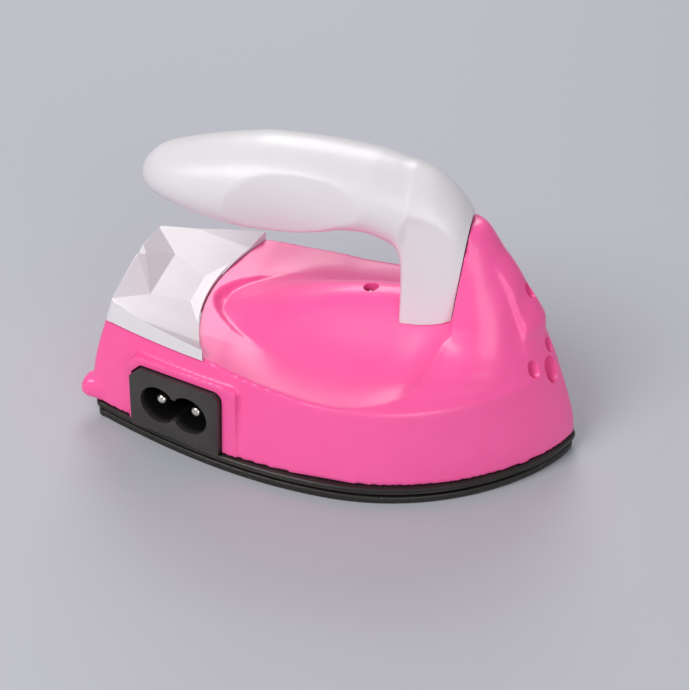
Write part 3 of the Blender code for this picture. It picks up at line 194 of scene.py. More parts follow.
# The flank in front of the deck leans towards a plain cone between the base's outline and the nose line
cone_level = 0.335
cone_half_share = 0.933
cone_nose_share = 0.889
cone_bow_share = 0.75
cone_start_share = 0.43
cone_run_share = 0.26
cone_rise_share = 0.07
cone_strength = 0.75
cone_least_share = 0.001

# Deck: height of its side rim along the press, as shares of the half length and of the height
rim_shares = (
    (-0.630, 0.402),
    (-0.537, 0.398),
    (-0.407, 0.391),
    (-0.333, 0.380),
    (-0.259, 0.368),
    (-0.185, 0.358),
    (-0.093, 0.348),
    (0.000, 0.338),
    (0.093, 0.335),
    (0.228, 0.342),
    (0.320, 0.355),
    (0.380, 0.374),
    (0.424, 0.397),
    (0.454, 0.432),
    (0.500, 0.470),
)
# Inside the rim: the crescent's crease and the wall behind it, and the dome that rises within
crease_apex_share = -0.491
crease_spread = 0.273 * width
dome_rise = 0.1667 * height
dome_run = 0.4074 * length
dome_bow_share = 1.3
crease_height = 0.356 * height
crease_dish = 0.041 * height
crease_wall = 2.1 * mm
crease_wall_width = 1.3 * mm
crease_wall_end = 15.0 * mm
# Further forward the crisp dome eases into a wide bell, with a shallow basin on each side of the stem
smooth_start = 6.0 * mm
smooth_run = 12.0 * mm
dome_spread = 13.0 * mm
basin_depth = 1.1 * mm
basin_x = 17.0 * mm
basin_y = 16.0 * mm
basin_reach = 7.0 * mm
dish_front_share = 0.22
dish_rear_share = -0.18
narrowest_crease = 0.095 * half_width
deck_rear_share = -0.63
deck_stations = 130
deck_lines = 16
deck_outer_lines = 14
horn_back = 0.4630 * half_length
horn_lean = 0.072

# Rear cap
seam_height = 0.3864 * height
arc_apex = -0.537 * half_length
arc_sweep = 0.111 * half_length
arc_half = 0.794 * half_width
arc_steps = 48
shelf_height = 0.3409 * height
shelf_thickness = 3.0 * mm
cap_edge = 0.22 * mm
cap_edge_steps = 2
cap_edge_angle = 5
# Corners of the cap's facets: places along, across and up, as shares of half length, half width and height
cap_shares = {
    "notch": (-0.811, 0.0, 0.500),
    "peak": (-0.833, 0.063, 0.511),
    "corner": (-0.854, 0.492, 0.465),
    "floor": (-0.741, 0.273, 0.432),
    "front": (-0.370, 0.0, 0.335),
    "crease": (-0.370, 0.622, 0.376),
    "fold": (-0.731, 0.619, 0.447),
    "tip": (-0.333, 0.848, 0.417),
}

# Heel feet
heel_length = 3.4 * mm
heel_half_width = 2.6 * mm
heel_height = 5.2 * mm
heel_side_share = 0.49
# Rows of a heel foot from its tip inwards: how far out, how wide and how tall it is, as shares of its sizes
heel_shares = ((1.0, 0.62, 0.62), (0.82, 0.86, 0.86), (0.5, 1.0, 1.0), (-1.2, 1.0, 1.0))
heel_square_share = 0.6

# Vents in the nose: side offset, level and half height; each is narrower across than it is tall
vents = (
    (-0.008 * width, 0.585 * height, 2.0 * mm),
    (-0.022 * width, 0.411 * height, 1.8 * mm),
    (-0.117 * width, 0.368 * height, 2.2 * mm),
    (-0.052 * width, 0.338 * height, 3.3 * mm),
)
vent_narrow_share = 0.56
vent_depth = 9.0 * mm
vent_tilt = math.radians(24)

# Raised shield round the upper vent: its steps off the nose and off the flanks, how much of each stands at a
# level, and its outline as shares of the half width and the height
shield_step = 1.3 * mm
shield_side = 0.5 * mm
shield_span_shares = (0.335, 0.808)
shield_levels = 48
shield_fade_shares = (
    (0.335, -0.2, 1.0),
    (0.447, -0.1, 1.0),
    (0.511, 1.0, 0.4),
    (0.609, 1.0, -0.2),
    (0.685, 0.4, -0.3),
    (0.750, -0.3, -0.3),
    (0.808, -0.3, -0.3),
)
shield_nose_column, shield_side_column = 1, 2
shield_outline_shares = (
    (0.0, 0.440),
    (0.241, 0.414),
    (0.190, 0.500),
    (0.150, 0.620),
    (0.127, 0.760),
    (0.0, 0.760),
)

# Inlet on the near side
inlet_turn = math.radians(-15)
inlet_x = -0.546 * half_length
inlet_y = -0.838 * half_width
inlet_width = 21.8 * mm
inlet_bottom = 4.8 * mm
inlet_top = 19.8 * mm
inlet_corner = 2.4 * mm
inlet_round = 2.0 * mm
inlet_flange = 3.4 * mm
flange_edge = 0.7 * mm
flange_edge_steps = 4
flange_edge_angle = 30
inlet_body_depth = 10.0 * mm
inlet_body_inset = 1.5 * mm
inlet_back_wall = 1.4 * mm
inlet_middle = (inlet_bottom + inlet_top) / 2
recess_width = 16.4 * mm
recess_height = 9.0 * mm
recess_waist = 4.8 * mm
lobe_open_share = 0.9
lobe_steps = 40
pin_spacing = 8.6 * mm
pin_radius = 1.2 * mm
pin_sunk = 1.5 * mm
pin_tail = 3.0 * mm
pin_tip_share = 0.7
pin_tip_steps = 6
pin_chamfer = 0.2 * mm
boss_rear = 12.6 * mm
boss_front = 14.4 * mm
boss_set_back = 1.3 * mm
boss_depth = 3.9 * mm
boss_top = 21.8 * mm

# Handle: each row of the grip gives station, level of its middle, half width and half height as shares, and
# each row of the stem gives station, level of its top, half width at its crease and half width at its foot
grip_shares = (
    (-0.803, 0.823, 0.010, 0.013),
    (-0.796, 0.823, 0.070, 0.029),
    (-0.776, 0.826, 0.133, 0.050),
    (-0.741, 0.831, 0.194, 0.071),
    (-0.685, 0.833, 0.248, 0.089),
    (-0.611, 0.833, 0.286, 0.108),
    (-0.519, 0.833, 0.311, 0.128),
    (-0.407, 0.837, 0.333, 0.145),
    (-0.296, 0.845, 0.343, 0.152),
    (-0.185, 0.849, 0.343, 0.151),
    (-0.074, 0.857, 0.343, 0.142),
    (0.019, 0.865, 0.337, 0.129),
    (0.100, 0.864, 0.324, 0.1265),
    (0.165, 0.851, 0.308, 0.132),
    (0.210, 0.838, 0.298, 0.138),
    (0.237, 0.817, 0.292, 0.156),
)
grip_sides = 96
grip_square_share = 1.04
stem_shares = (
    (0.262, 0.972, 0.286, 0.250),
    (0.330, 0.954, 0.272, 0.250),
    (0.395, 0.920, 0.254, 0.246),
    (0.445, 0.882, 0.234, 0.240),
    (0.490, 0.834, 0.196, 0.226),
    (0.530, 0.790, 0.166, 0.208),
)
stem_bottom = 0.409 * height
# Station and level of the crease along the stem's side, where the round top meets the straight flank
stem_crease_shares = ((0.262, 0.866), (0.345, 0.848), (0.426, 0.805), (0.530, 0.720))
stem_crease_turn = math.radians(66)
foot_bow_share = 0.5
grip_stations = 72
grip_crowding = 1.6
stem_stations = 14
finger_flat_start = -0.50 * half_length
finger_flat_end = 0.176 * half_length
finger_flat_depth = 2.4 * mm
finger_flat_bulge = 1.7 * mm
finger_flat_tilt = math.radians(8)
finger_flat_level = 0.828 * height
finger_flat_offset = 0.302 * half_width
finger_flat_half = 0.136 * height
finger_flat_steps = 40
finger_flat_rows = 12

# Lamp
lamp_x = 0.120 * half_length
lamp_hole_radius = 1.7 * mm
lamp_radius = 1.4 * mm
lamp_flange_radius = 1.8 * mm
lamp_flange = 0.8 * mm
lamp_below_deck = 1.1 * mm
lamp_height = 6.2 * mm
lamp_bore_top = 0.70 * height
round_sides = 48

# Skins: cell size and smoothing of the moulded pieces
shell_cell = 0.45 * mm
handle_cell = 0.42 * mm
skin_passes = 4
skin_softness = 0.5

# Edges that turn by more than these angles, in degrees, stay crisp in the shading
moulding_crisp = 38
facet_crisp = 6
base_crisp = 40
socket_crisp = 32
turned_crisp = 50
grain_crisp = 60

# Camera, as fitted to the photograph's outline; the picture is a little taller than it is wide
photo_height = 690
camera_azimuth = math.radians(10.7)
camera_elevation = math.radians(35.1)
camera_roll = math.radians(3.13)
camera_distance = 308.0 * mm
camera_focus_px = 1400
camera_target = Vector((1.4 * mm, 0.0, 17.4 * mm))
sensor = 36.0
clip_near = 0.01
clip_far = 10.0

# Studio: place, height of the aim, size, power and colour of each soft lamp, then the floor and surround
lamps = {
    "key": ((-0.45, -0.60, 0.75), 0.02, 0.55, 6.5, (1.0, 0.985, 0.97)),
    "fill": ((0.60, -0.90, 0.35), 0.02, 0.70, 3.6, (0.97, 0.98, 1.0)),
    "back": ((-0.20, 0.80, 0.75), 0.03, 0.60, 4.6, (1.0, 1.0, 1.0)),
}
floor_reach = 3.0
floor_colour = "B9BAC2"
floor_roughness = 0.75
surround_colour = (0.80, 0.81, 0.84, 1.0)
surround_strength = 0.40

# Finishes: the middle of a noise pattern, which lies between 0 and 1
noise_middle = 0.5


class Signal:
    """A socket whose value can be used in an expression; each operator adds one Math node."""

    def __init__(self, finish, socket):
        self.finish = finish
        self.socket = socket

    def _math(self, operation, *values):
        inputs = dict(enumerate(values))
        return self.finish.node("ShaderNodeMath", {"operation": operation}, inputs)

    def __add__(self, other):
        return self._math("ADD", self, other)

    def __radd__(self, other):
        return self._math("ADD", other, self)

    def __sub__(self, other):
        return self._math("SUBTRACT", self, other)

    def __rsub__(self, other):
        return self._math("SUBTRACT", other, self)

    def __mul__(self, other):
        return self._math("MULTIPLY", self, other)

    def __rmul__(self, other):
        return self._math("MULTIPLY", other, self)

    def above(self, level):
        return self._math("GREATER_THAN", self, level)

    def between(self, low, high):
        """Rise smoothly from 0 at low to 1 at high."""
        settings = {"interpolation_type": "SMOOTHSTEP"}
        inputs = {"Value": self, "From Min": low, "From Max": high}
        return self.finish.node("ShaderNodeMapRange", settings, inputs)

    def swing(self, amount):
        """Vary evenly either side of zero, by half an amount at the most."""
        return (self - noise_middle) * amount


class Finish:
    """A material whose Principled shader is fed by procedural patterns on Object coordinates."""

    def __init__(self, name, roughness, metallic=0.0, coat=0.0, coat_roughness=0.1):
        self.material = bpy.data.materials.new(name)
        self.material.use_nodes = True
        self.tree = self.material.node_tree
        self.shader = self.tree.nodes["Principled BSDF"]
        self.shader.inputs["Roughness"].default_value = roughness
        self.shader.inputs["Metallic"].default_value = metallic
        self.shader.inputs["Coat Weight"].default_value = coat
        self.shader.inputs["Coat Roughness"].default_value = coat_roughness
        self.place = self.node("ShaderNodeTexCoord", {}, {}, "Object")

    def node(self, kind, settings, inputs, output=0):
        """Add a node, set its own settings first and then the values or links of its sockets."""
        made = self.tree.nodes.new(kind)
        for name, value in settings.items():
            if name == "stops":
                self._set_stops(made.color_ramp, value)
            else:
                setattr(made, name, value)
        for key, value in inputs.items():
            if isinstance(value, Signal):
                self.tree.links.new(value.socket, made.inputs[key])
            else:
                made.inputs[key].default_value = value
        return Signal(self, made.outputs[output])

    @staticmethod
    def _set_stops(ramp, stops):
        while len(ramp.elements) < len(stops):
            ramp.elements.new(1.0)
        for element, (position, colour) in zip(ramp.elements, stops):
            element.position = position
            element.color = colour

    def noise(self, scale, detail, roughness, place=None):
        inputs = {"Vector": place or self.place, "Scale": scale, "Detail": detail, "Roughness": roughness}
        return self.node("ShaderNodeTexNoise", {}, inputs, "Fac")

    def cells(self, scale):
        return self.node("ShaderNodeTexVoronoi", {}, {"Vector": self.place, "Scale": scale}, "Distance")

    def stretched(self, scale):
        return self.node("ShaderNodeMapping", {}, {"Vector": self.place, "Scale": scale})

    def axis(self, letter):
        return self.node("ShaderNodeSeparateXYZ", {}, {"Vector": self.place}, letter)

    def blend(self, factor, first, second):
        """Mix two colours."""
        settings = {"data_type": "RGBA", "clamp_factor": True}
        inputs = {0: factor, 6: first, 7: second}
        return self.node("ShaderNodeMix", settings, inputs, 2)

    def set(self, name, value):
        if isinstance(value, Signal):
            self.tree.links.new(value.socket, self.shader.inputs[name])
        else:
            self.shader.inputs[name].default_value = value
        return self

    def relief(self, pattern, depth):
        """Turn a pattern of heights into the surface's bump."""
        inputs = {"Height": pattern, "Distance": depth, "Strength": 1.0}
        return self.set("Normal", self.node("ShaderNodeBump", {}, inputs))


def srgb(code):
    """Scene colour of a screen colour written as six hexadecimal digits."""
    parts = [int(code[i:i + 2], 16) / 255 for i in (0, 2, 4)]
    linear = [c / 12.92 if c <= 0.04045 else ((c + 0.055) / 1.055) ** 2.4 for c in parts]
    return (*linear, 1.0)


def moulded_plastic(name, base, shade, bloom, roughness, coat):
    """Satin injection-moulded plastic: faint mottling, spark-eroded grain and soft flow waves."""
    finish = Finish(name, roughness, coat=coat, coat_roughness=0.16)
    mottle = finish.noise(scale=55.0, detail=4.0, roughness=0.55)
    drift = finish.noise(scale=16.0, detail=2.0, roughness=0.5)
    grain = finish.noise(scale=5200.0, detail=2.0, roughness=0.6)
    waves = finish.noise(scale=90.0, detail=2.0, roughness=0.4)
    mottle_share, drift_share = 0.55, 0.40
    grain_share, wave_share = 0.7, 2.2
    colour = finish.blend(mottle.between(0.35, 0.70) * mottle_share, srgb(base), srgb(shade))
    colour = finish.blend(drift.between(0.40, 0.75) * drift_share, colour, srgb(bloom))
    finish.set("Base Color", colour)
    finish.set("Roughness", roughness + mottle.swing(0.14) + grain.swing(0.08))
    return finish.relief(grain * grain_share + waves * wave_share, depth=0.010 * mm)


def pink_plastic():
    colours = {"base": "FF5CA4", "shade": "F8509A", "bloom": "FF6CB0"}
    return moulded_plastic("pink_plastic", **colours, roughness=0.36, coat=0.20)


def white_plastic():
    colours = {"base": "E0DCE0", "shade": "DBD6D9", "bloom": "E6E2E4"}
    return moulded_plastic("white_plastic", **colours, roughness=0.38, coat=0.12)


def frame_plastic():
    """Black heat-resistant moulding with scuffed, slightly brown high spots."""
    finish = Finish("frame_plastic", roughness=0.42, coat=0.12, coat_roughness=0.25)
    mottle = finish.noise(scale=140.0, detail=4.0, roughness=0.6)
    upright = finish.stretched((260.0, 260.0, 2400.0))
    scuffs = finish.noise(scale=1.0, detail=3.0, roughness=0.6, place=upright)
    grain = finish.noise(scale=4200.0, detail=2.0, roughness=0.6)
    scuff_share, scuff_relief = 0.45, 1.5
    colour = finish.blend(mottle.between(0.40, 0.75), srgb("1B1814"), srgb("26221C"))
    colour = finish.blend(scuffs.between(0.62, 0.80) * scuff_share, colour, srgb("4A443B"))
    finish.set("Base Color", colour)
    finish.set("Roughness", 0.40 + mottle.swing(0.22))
    return finish.relief(grain + scuffs * scuff_relief, depth=0.012 * mm)


def sole_coating():
    """Black non-stick coating with fine pale specks and a slight orange-peel surface."""
    finish = Finish("sole_coating", roughness=0.46, coat=0.10, coat_roughness=0.30)
    peel = finish.noise(scale=900.0, detail=2.0, roughness=0.5)
    specks = finish.cells(scale=1500.0)
    patches = finish.noise(scale=420.0, detail=3.0, roughness=0.6)
    speck_share, speck_relief, peel_dullness = 0.75, 0.6, 0.16
    colour = finish.blend(peel.between(0.30, 0.80), srgb("16130F"), srgb("221E19"))
    shine = (1.0 - specks.between(0.10, 0.26)) * patches.between(0.56, 0.66)
    colour = finish.blend(shine * speck_share, colour, srgb("8C867C"))
    finish.set("Base Color", colour)
    finish.set("Roughness", 0.42 + peel * peel_dullness)
    return finish.relief(peel + shine * speck_relief, depth=0.015 * mm)


def inlet_plastic():
    """Black socket moulding, darker inside the recess where little light reaches."""
    finish = Finish("inlet_plastic", roughness=0.42, coat=0.10, coat_roughness=0.25)
    mottle = finish.noise(scale=160.0, detail=3.0, roughness=0.6)
    grain = finish.noise(scale=5000.0, detail=2.0, roughness=0.6)
    cosine, sine = math.cos(inlet_turn), math.sin(inlet_turn)
    depth = finish.axis("X") * -sine + finish.axis("Y") * cosine
    face = inlet_y * cosine - inlet_x * sine
    dark_start, dark_end, dark_margin = 0.1 * mm, 2.2 * mm, 0.6 * mm
    inside = depth.between(face + dark_start, face + dark_end)
    across = finish.axis("X") * cosine + finish.axis("Y") * sine
    off_middle = across - (inlet_x * cosine + inlet_y * sine)
    reach = recess_width / 2 + dark_margin
    near_recess = 1.0 - (off_middle * off_middle).above(reach * reach)
    colour = finish.blend(mottle.between(0.35, 0.75), srgb("302D2A"), srgb("3A3734"))
    finish.set("Base Color", finish.blend(inside * near_recess, colour, srgb("0B0A0A")))
    finish.set("Roughness", 0.44 + mottle.swing(0.20) + grain.swing(0.10))
    return finish.relief(grain, depth=0.012 * mm)


def metal(name, base, shade, roughness):
    """Plated or rolled metal with faint draw lines."""
    finish = Finish(name, roughness, metallic=1.0)
    drawn = finish.stretched((3000.0, 3000.0, 400.0))
    lines = finish.noise(scale=1.0, detail=3.0, roughness=0.6, place=drawn)
    cloud = finish.noise(scale=220.0, detail=3.0, roughness=0.5)
    finish.set("Base Color", finish.blend(cloud.between(0.35, 0.70), srgb(base), srgb(shade)))
    finish.set("Roughness", roughness + lines.swing(0.16) + cloud.swing(0.10))
    return finish.relief(lines, depth=0.004 * mm)


def matt(name, base, shade, roughness, scale, grain_scale, depth):
    """A dull mineral, fibre or rubber surface with its own grain."""
    finish = Finish(name, roughness)
    cloud = finish.noise(scale, detail=4.0, roughness=0.6)
    grain = finish.noise(grain_scale, detail=3.0, roughness=0.6)
    finish.set("Base Color", finish.blend(cloud.between(0.35, 0.70), srgb(base), srgb(shade)))
    finish.set("Roughness", roughness + grain.swing(0.12))
    return finish.relief(grain, depth)


def braided(name, base, shade):
    """Braided glass fibre round an axis along X."""
    finish = Finish(name, roughness=0.85)
    strands = []
    for lean in (0.9, -0.9):
        turned = {"Vector": finish.place, "Rotation": (0.0, 0.0, lean)}
        place = finish.node("ShaderNodeMapping", {}, turned)
        inputs = {"Vector": place, "Scale": 700.0, "Distortion": 0.4, "Detail": 1.0}
        strands.append(finish.node("ShaderNodeTexWave", {"wave_type": "BANDS"}, inputs, "Fac"))
    weave = strands[0] * strands[1]
    finish.set("Base Color", finish.blend(weave, srgb(shade), srgb(base)))
    return finish.relief(weave, depth=0.12 * mm)


def lamp_red():
    """Dark red lens, a little cloudy where it is worn."""
    finish = Finish("lamp_red", roughness=0.14, coat=0.6, coat_roughness=0.05)
    swirl = finish.noise(scale=700.0, detail=3.0, roughness=0.5)
    dullness = 0.12
    finish.set("Base Color", finish.blend(swirl.between(0.30, 0.75), srgb("5E1226"), srgb("8A4A58")))
    finish.set("Roughness", dullness + swirl * dullness)
    return finish.relief(swirl, depth=0.006 * mm)


def held(part):
    """Keep a share between 0 and 1."""
    return min(max(part, 0), 1)


def softened(part):
    """Ease a share in and out between 0 and 1."""
    return part * part * (3 - 2 * part)


def eased(table, at, column):
    """Read a column of a table by a smooth curve through its rows that never overshoots them."""
    at = min(max(at, table[0][0]), table[-1][0])
    index = 0
    while index < len(table) - 2 and at > table[index + 1][0]:
        index += 1

    def slope(i):
        return (table[i + 1][column] - table[i][column]) / (table[i + 1][0] - table[i][0])

    def bend(i):
        if i == 0:
            return slope(0)
        if i == len(table) - 1:
            return slope(i - 1)
        before = slope(i - 1)
        after = slope(i)
        if before * after <= 0:
            return 0.0
        return 2 * before * after / (before + after)

    low = table[index]
    high = table[index + 1]
    span = high[0] - low[0]
    t = (at - low[0]) / span
    start = low[column] * (1 + 2 * t) * (1 - t) ** 2 + high[column] * t * t * (3 - 2 * t)
    return start + span * t * (1 - t) * (bend(index) * (1 - t) - bend(index + 1) * t)


def link(name, data):
    made = bpy.data.objects.new(name, data)
    bpy.context.scene.collection.objects.link(made)
    return made


def solid(name, bm):
    """Make one object from a bmesh, with faces outwards."""
    bmesh.ops.recalc_face_normals(bm, faces=bm.faces)
    if bm.calc_volume(signed=True) < 0:
        bmesh.ops.reverse_faces(bm, faces=bm.faces)
    mesh = bpy.data.meshes.new(name)
    bm.to_mesh(mesh)
    bm.free()
    return link(name, mesh)


def settle(made):
    """Turn an object's modifiers into plain mesh."""
    bpy.context.view_layer.update()
    evaluated = made.evaluated_get(bpy.context.evaluated_depsgraph_get())
    mesh = bpy.data.meshes.new_from_object(evaluated)
    mesh.name = made.name
    made.modifiers.clear()
    old = made.data
    made.data = mesh
    bpy.data.meshes.remove(old)
    return made


def combine(target, tool, operation):
    """Cut, join or intersect the target with a tool body, which is used up."""
    modifier = target.modifiers.new(operation.lower(), "BOOLEAN")
    modifier.operation = operation
    modifier.solver = "EXACT"
    modifier.object = tool
    settle(target)
    bpy.data.objects.remove(tool, do_unlink=True)
    return target


def cut(target, *tools):
    for tool in tools:
        combine(target, tool, "DIFFERENCE")
    return target


def join(target, *tools):
    for tool in tools:
        combine(target, tool, "UNION")
    return target


def keep_common(target, tool):
    return combine(target, tool, "INTERSECT")


def moulded_skin(made, cell):
    """Give a body the even skin and small radii of a moulding."""
    remesh = made.modifiers.new("skin", "REMESH")
    remesh.mode = "VOXEL"
    remesh.voxel_size = cell
    remesh.use_smooth_shade = True
    smooth = made.modifiers.new("radii", "SMOOTH")
    smooth.factor = skin_softness
    smooth.iterations = skin_passes
    return settle(made)


def loft(name, rings):
    """Skin closed rings of equal counts, with flat caps on the first and last ring."""
    bm = bmesh.new()
    rows = [[bm.verts.new(point) for point in ring] for ring in rings]
    count = len(rows[0])
    for lower, upper in zip(rows, rows[1:]):
        for i in range(count):
            j = (i + 1) % count
            bm.faces.new((lower[i], lower[j], upper[j], upper[i]))
    caps = [bm.faces.new(rows[0]), bm.faces.new(list(reversed(rows[-1])))]
    bmesh.ops.triangulate(bm, faces=caps)
    return solid(name, bm)


def prism(name, outline, low, high):
    return loft(name, [[Vector((x, y, z)) for x, y in outline] for z in (low, high)])


def disc(middle, radius):
    turns = [2 * math.pi * i / round_sides for i in range(round_sides)]
    return [(middle[0] + radius * math.cos(a), middle[1] + radius * math.sin(a)) for a in turns]


def cylinder(name, middle, radius, low, high):
    return prism(name, disc(middle, radius), low, high)


def place(made, matrix):
    made.data.transform(matrix)
    return made


def shade_round(made, angle):
    made.data.shade_smooth()
    made.data.set_sharp_from_angle(angle=math.radians(angle))
    return made


def squarish(turn, power):
    """Place on an outline between an oval and a box, or an oval and a diamond, at a turn round it."""
    cosine, sine = math.cos(turn), math.sin(turn)
    return math.copysign(abs(cosine) ** power, cosine), math.copysign(abs(sine) ** power, sine)


def body_half_width(x, widest, rear_x, rear_half, station):
    """Half width of the body at a place behind its widest station."""
    part = held((x - rear_x) / (station - rear_x))
    return rear_half + (widest - rear_half) * math.sin(part * math.pi / 2) ** side_bow_share


def closing(x, station, nose, bow):
    """Share of its half width that an outline has left at a place in front of its widest station."""
    part = held((x - station) / (nose - station))
    return (1 - part ** 2) ** (bow / 2)


def cone_half(x, level):
    """Half width of a flank that narrows evenly from the base's outline up to the nose line."""
    top = eased(nose_line, x / half_length, 1)
    nose = cone_nose_share * half_length
    foot = cone_half_share * half_width * closing(x, widest_share * half_length, nose, nose_bow_share)
    part = held((level - cone_level) / max(top - cone_level, cone_least_share))
    return foot * (1 - part) ** cone_bow_share


def plan_ring(z, widest, station, nose, rear_x, rear_half, body_widest, body_station, grow=(0.0, 0.0)):
    """One closed plan outline at a level, from the nose round the far side, the rear and the near side."""
    cone_part = cone_strength * held((z / height - cone_level) / cone_rise_share)
    bow = eased(bow_shares, z / height, 1)
    at_station = closing(station, body_station, nose, bow)
    far = []
    for i in range(1, nose_steps + 1):
        turn = math.pi / 2 * (1 - i / nose_steps)
        x = station + (nose - station) * math.sin(turn)
        half = widest * closing(x, body_station, nose, bow) / at_station
        part = cone_part * held((x / half_length - cone_start_share) / cone_run_share)
        if i > 1 and part > 0:
            half += part * (cone_half(x - grow[0], z / height) + grow[1] - half)
        far.append((x, half))
    start = rear_x + corner_radius

    def body(x):
        if x <= body_station:
            return body_half_width(x, body_widest, rear_x, rear_half, body_station)
        turn = (x - body_station) / (half_length - body_station)
        return body_widest * (1 - turn ** 2) ** (nose_bow_share / 2)

    shortfall = body(station) - widest
    pinch_start = rear_x * pinch_share
    for i in range(1, side_steps + 1):
        x = station + (start - station) * i / side_steps
        part = held((x - pinch_start) / (station - pinch_start))
        far.append((x, body(x) - shortfall * softened(part)))
    corner_half = far[-1][1] - corner_radius
    for i in range(1, corner_steps + 1):
        turn = math.pi / 2 * i / corner_steps
        far.append((start - corner_radius * math.sin(turn), corner_half + corner_radius * math.cos(turn)))
    ring = [Vector((nose, 0, z))]
    ring += [Vector((x, y, z)) for x, y in far]
    ring += [Vector((x, -y, z)) for x, y in reversed(far)]
    return ring


def base_ring(z, inset):
    rear_x = rear_edge_share * half_length + inset
    rear_half = rear_corner_share * half_width - inset
    station = widest_share * half_length
    widest = half_width - inset
    return plan_ring(z, widest, station, half_length - inset, rear_x, rear_half, widest, station)


def shell_ring(z, inset, nose_grow=0.0, side_grow=0.0):
    """Plan outline of the shell at a level, drawn in by an inset for its inner faces."""
    columns = (station_column, half_column, nose_column, rear_column)
    shares = (eased(flank_shares, z / height, column) for column in columns)
    station_share, half_share, nose_share, rear_share = shares
    lean = 1 - side_lean_share * (z - shell_bottom) / lean_height
    rear_x = rear_share * half_length + inset
    rear_half = (rear_corner_share * half_width - shell_inset / 2) * lean - inset
    body_widest = (half_width - shell_inset) * lean - inset
    body_station = widest_share * half_length
    widest = half_share * half_width - inset + side_grow
    nose = nose_share * half_length - inset + nose_grow
    station = station_share * half_length
    grow = (nose_grow - inset, side_grow - inset)
    return plan_ring(z, widest, station, nose, rear_x, rear_half, body_widest, body_station, grow)


def shell_loft(name, inset, floor_extra=0.0):
    top = flank_shares[-1][0] * height
    levels = [shell_bottom + (top - shell_bottom) * i / flank_rows for i in range(flank_rows + 1)]
    rings = [shell_ring(z, inset) for z in levels]
    if floor_extra:
        rings.insert(0, [point - Vector((0, 0, floor_extra)) for point in rings[0]])
    return loft(name, rings)


def rim_height(x):
    return eased(rim_shares, x / half_length, 1) * height


def rim_half(x):
    """Half width of the deck at a station, read from the flank where the rim meets it."""
    body_station = widest_share * half_length
    lean = 1 - side_lean_share * (rim_height(x) - shell_bottom) / lean_height
    widest = (half_width - shell_inset) * lean
    if x <= body_station:
        rear_x = eased(flank_shares, rim_height(x) / height, rear_column) * half_length
        rear_half = (rear_corner_share * half_width - shell_inset / 2) * lean
        return body_half_width(x, widest, rear_x, rear_half, body_station)
    rows = [(row[station_column] * half_length, row[half_column] * half_width) for row in rim_rows]
    return eased(rows, x, 1)


def deck_row(x):
    """Points of the deck across the press at one station, on the far half from the middle out."""
    crease_x = crease_apex_share * half_length
    rim_z = rim_height(x)
    rim_y = rim_half(x)
    forward = x - crease_x
    crease_y = math.sqrt(max(forward, 0) * crease_spread)
    crease_y = min(max(crease_y, narrowest_crease), rim_y)
    rise = dome_rise * math.sin(math.pi / 2 * held(forward / dome_run))
    fade = (x / half_length - dish_rear_share) / (dish_front_share - dish_rear_share)
    dish = crease_dish * (1 - held(fade))

    def ground(y):
        """The deck without its dome: dished between its rims, with the wall behind the crease."""
        share = min(y / rim_y, 1)
        behind = held((y * y / crease_spread - forward) / crease_wall_width)
        wall_rise = crease_wall * max(1 - (y / crease_wall_end) ** 2, 0) * behind
        return rim_z - dish * (1 - share) + wall_rise * (1 - share)

    crest = crease_height + rise
    soft = held((forward - smooth_start) / smooth_run)
    edge = ground(crease_y)

    def surface(y):
        """The crisp dome inside its crease near the rear, easing into a wide bell further forward."""
        share = y / crease_y
        crisp = ground(y)
        if forward > 0 and share < 1:
            crisp = edge + max(crest - edge, 0) * (1 - share ** dome_bow_share)
        bell = ground(y) + max(crest - ground(0), 0) * math.exp(-(y / dome_spread) ** 2)
        away = ((x - basin_x) / basin_reach) ** 2 + ((y - basin_y) / basin_reach) ** 2
        return crisp + soft * (bell - crisp) - basin_depth * math.exp(-away)

    row = []
    for i in range(deck_lines + 1):
        y = i / deck_lines * crease_y
        row.append((y, surface(y)))
    room = rim_y - crease_y
    for i in range(1, deck_outer_lines + 1):
        part = (i / deck_outer_lines) ** 2
        y = crease_y + max(room, overrun / 3) * part
        row.append((y, surface(y) if room > overrun / 3 else rim_z))
    row.append((max(rim_y, row[-1][0]) + overrun / 2, rim_z))
    row.append((row[-1][0] + overrun * 2, rim_z))
    return row


def deck_points(drop, front):
    """The deck's surface as rows of points, let down by a drop and carried on to a place at its front."""
    rows = []
    rear = deck_rear_share * half_length
    stations = [rear + (horn_back - rear) * i / deck_stations for i in range(deck_stations + 1)]
    if front > horn_back:
        stations.append(front)
    for x in stations:
        far = deck_row(min(x, horn_back))
        row = [Vector((x, -y, z - drop)) for y, z in reversed(far[1:])]
        row += [Vector((x, y, z - drop)) for y, z in far]
        rows.append(row)
    return rows


def sheet_solid(name, rows, level, shear=0.0):
    """Fill between a surface, given as rows of points, and a flat level above or below it."""
    bm = bmesh.new()
    near = [[bm.verts.new(point) for point in row] for row in rows]
    far = [[bm.verts.new((p.x + shear * (level - p.z), p.y, level)) for p in row] for row in rows]
    last_row = len(rows) - 1
    last = len(rows[0]) - 1
    for i in range(last_row):
        for j in range(last):
            for grid in (near, far):
                bm.faces.new((grid[i][j], grid[i][j + 1], grid[i + 1][j + 1], grid[i + 1][j]))
    border = [(0, j) for j in range(last)] + [(i, last) for i in range(last_row)]
    border += [(last_row, j) for j in range(last, 0, -1)] + [(i, 0) for i in range(last_row, 0, -1)]
    for (i, j), (m, n) in zip(border, border[1:] + border[:1]):
        bm.faces.new((near[i][j], near[m][n], far[m][n], far[i][j]))
    return solid(name, bm)


def above_deck(name, drop=0.0, front=horn_back):
    return sheet_solid(name, deck_points(drop, front), height + overrun, horn_lean)


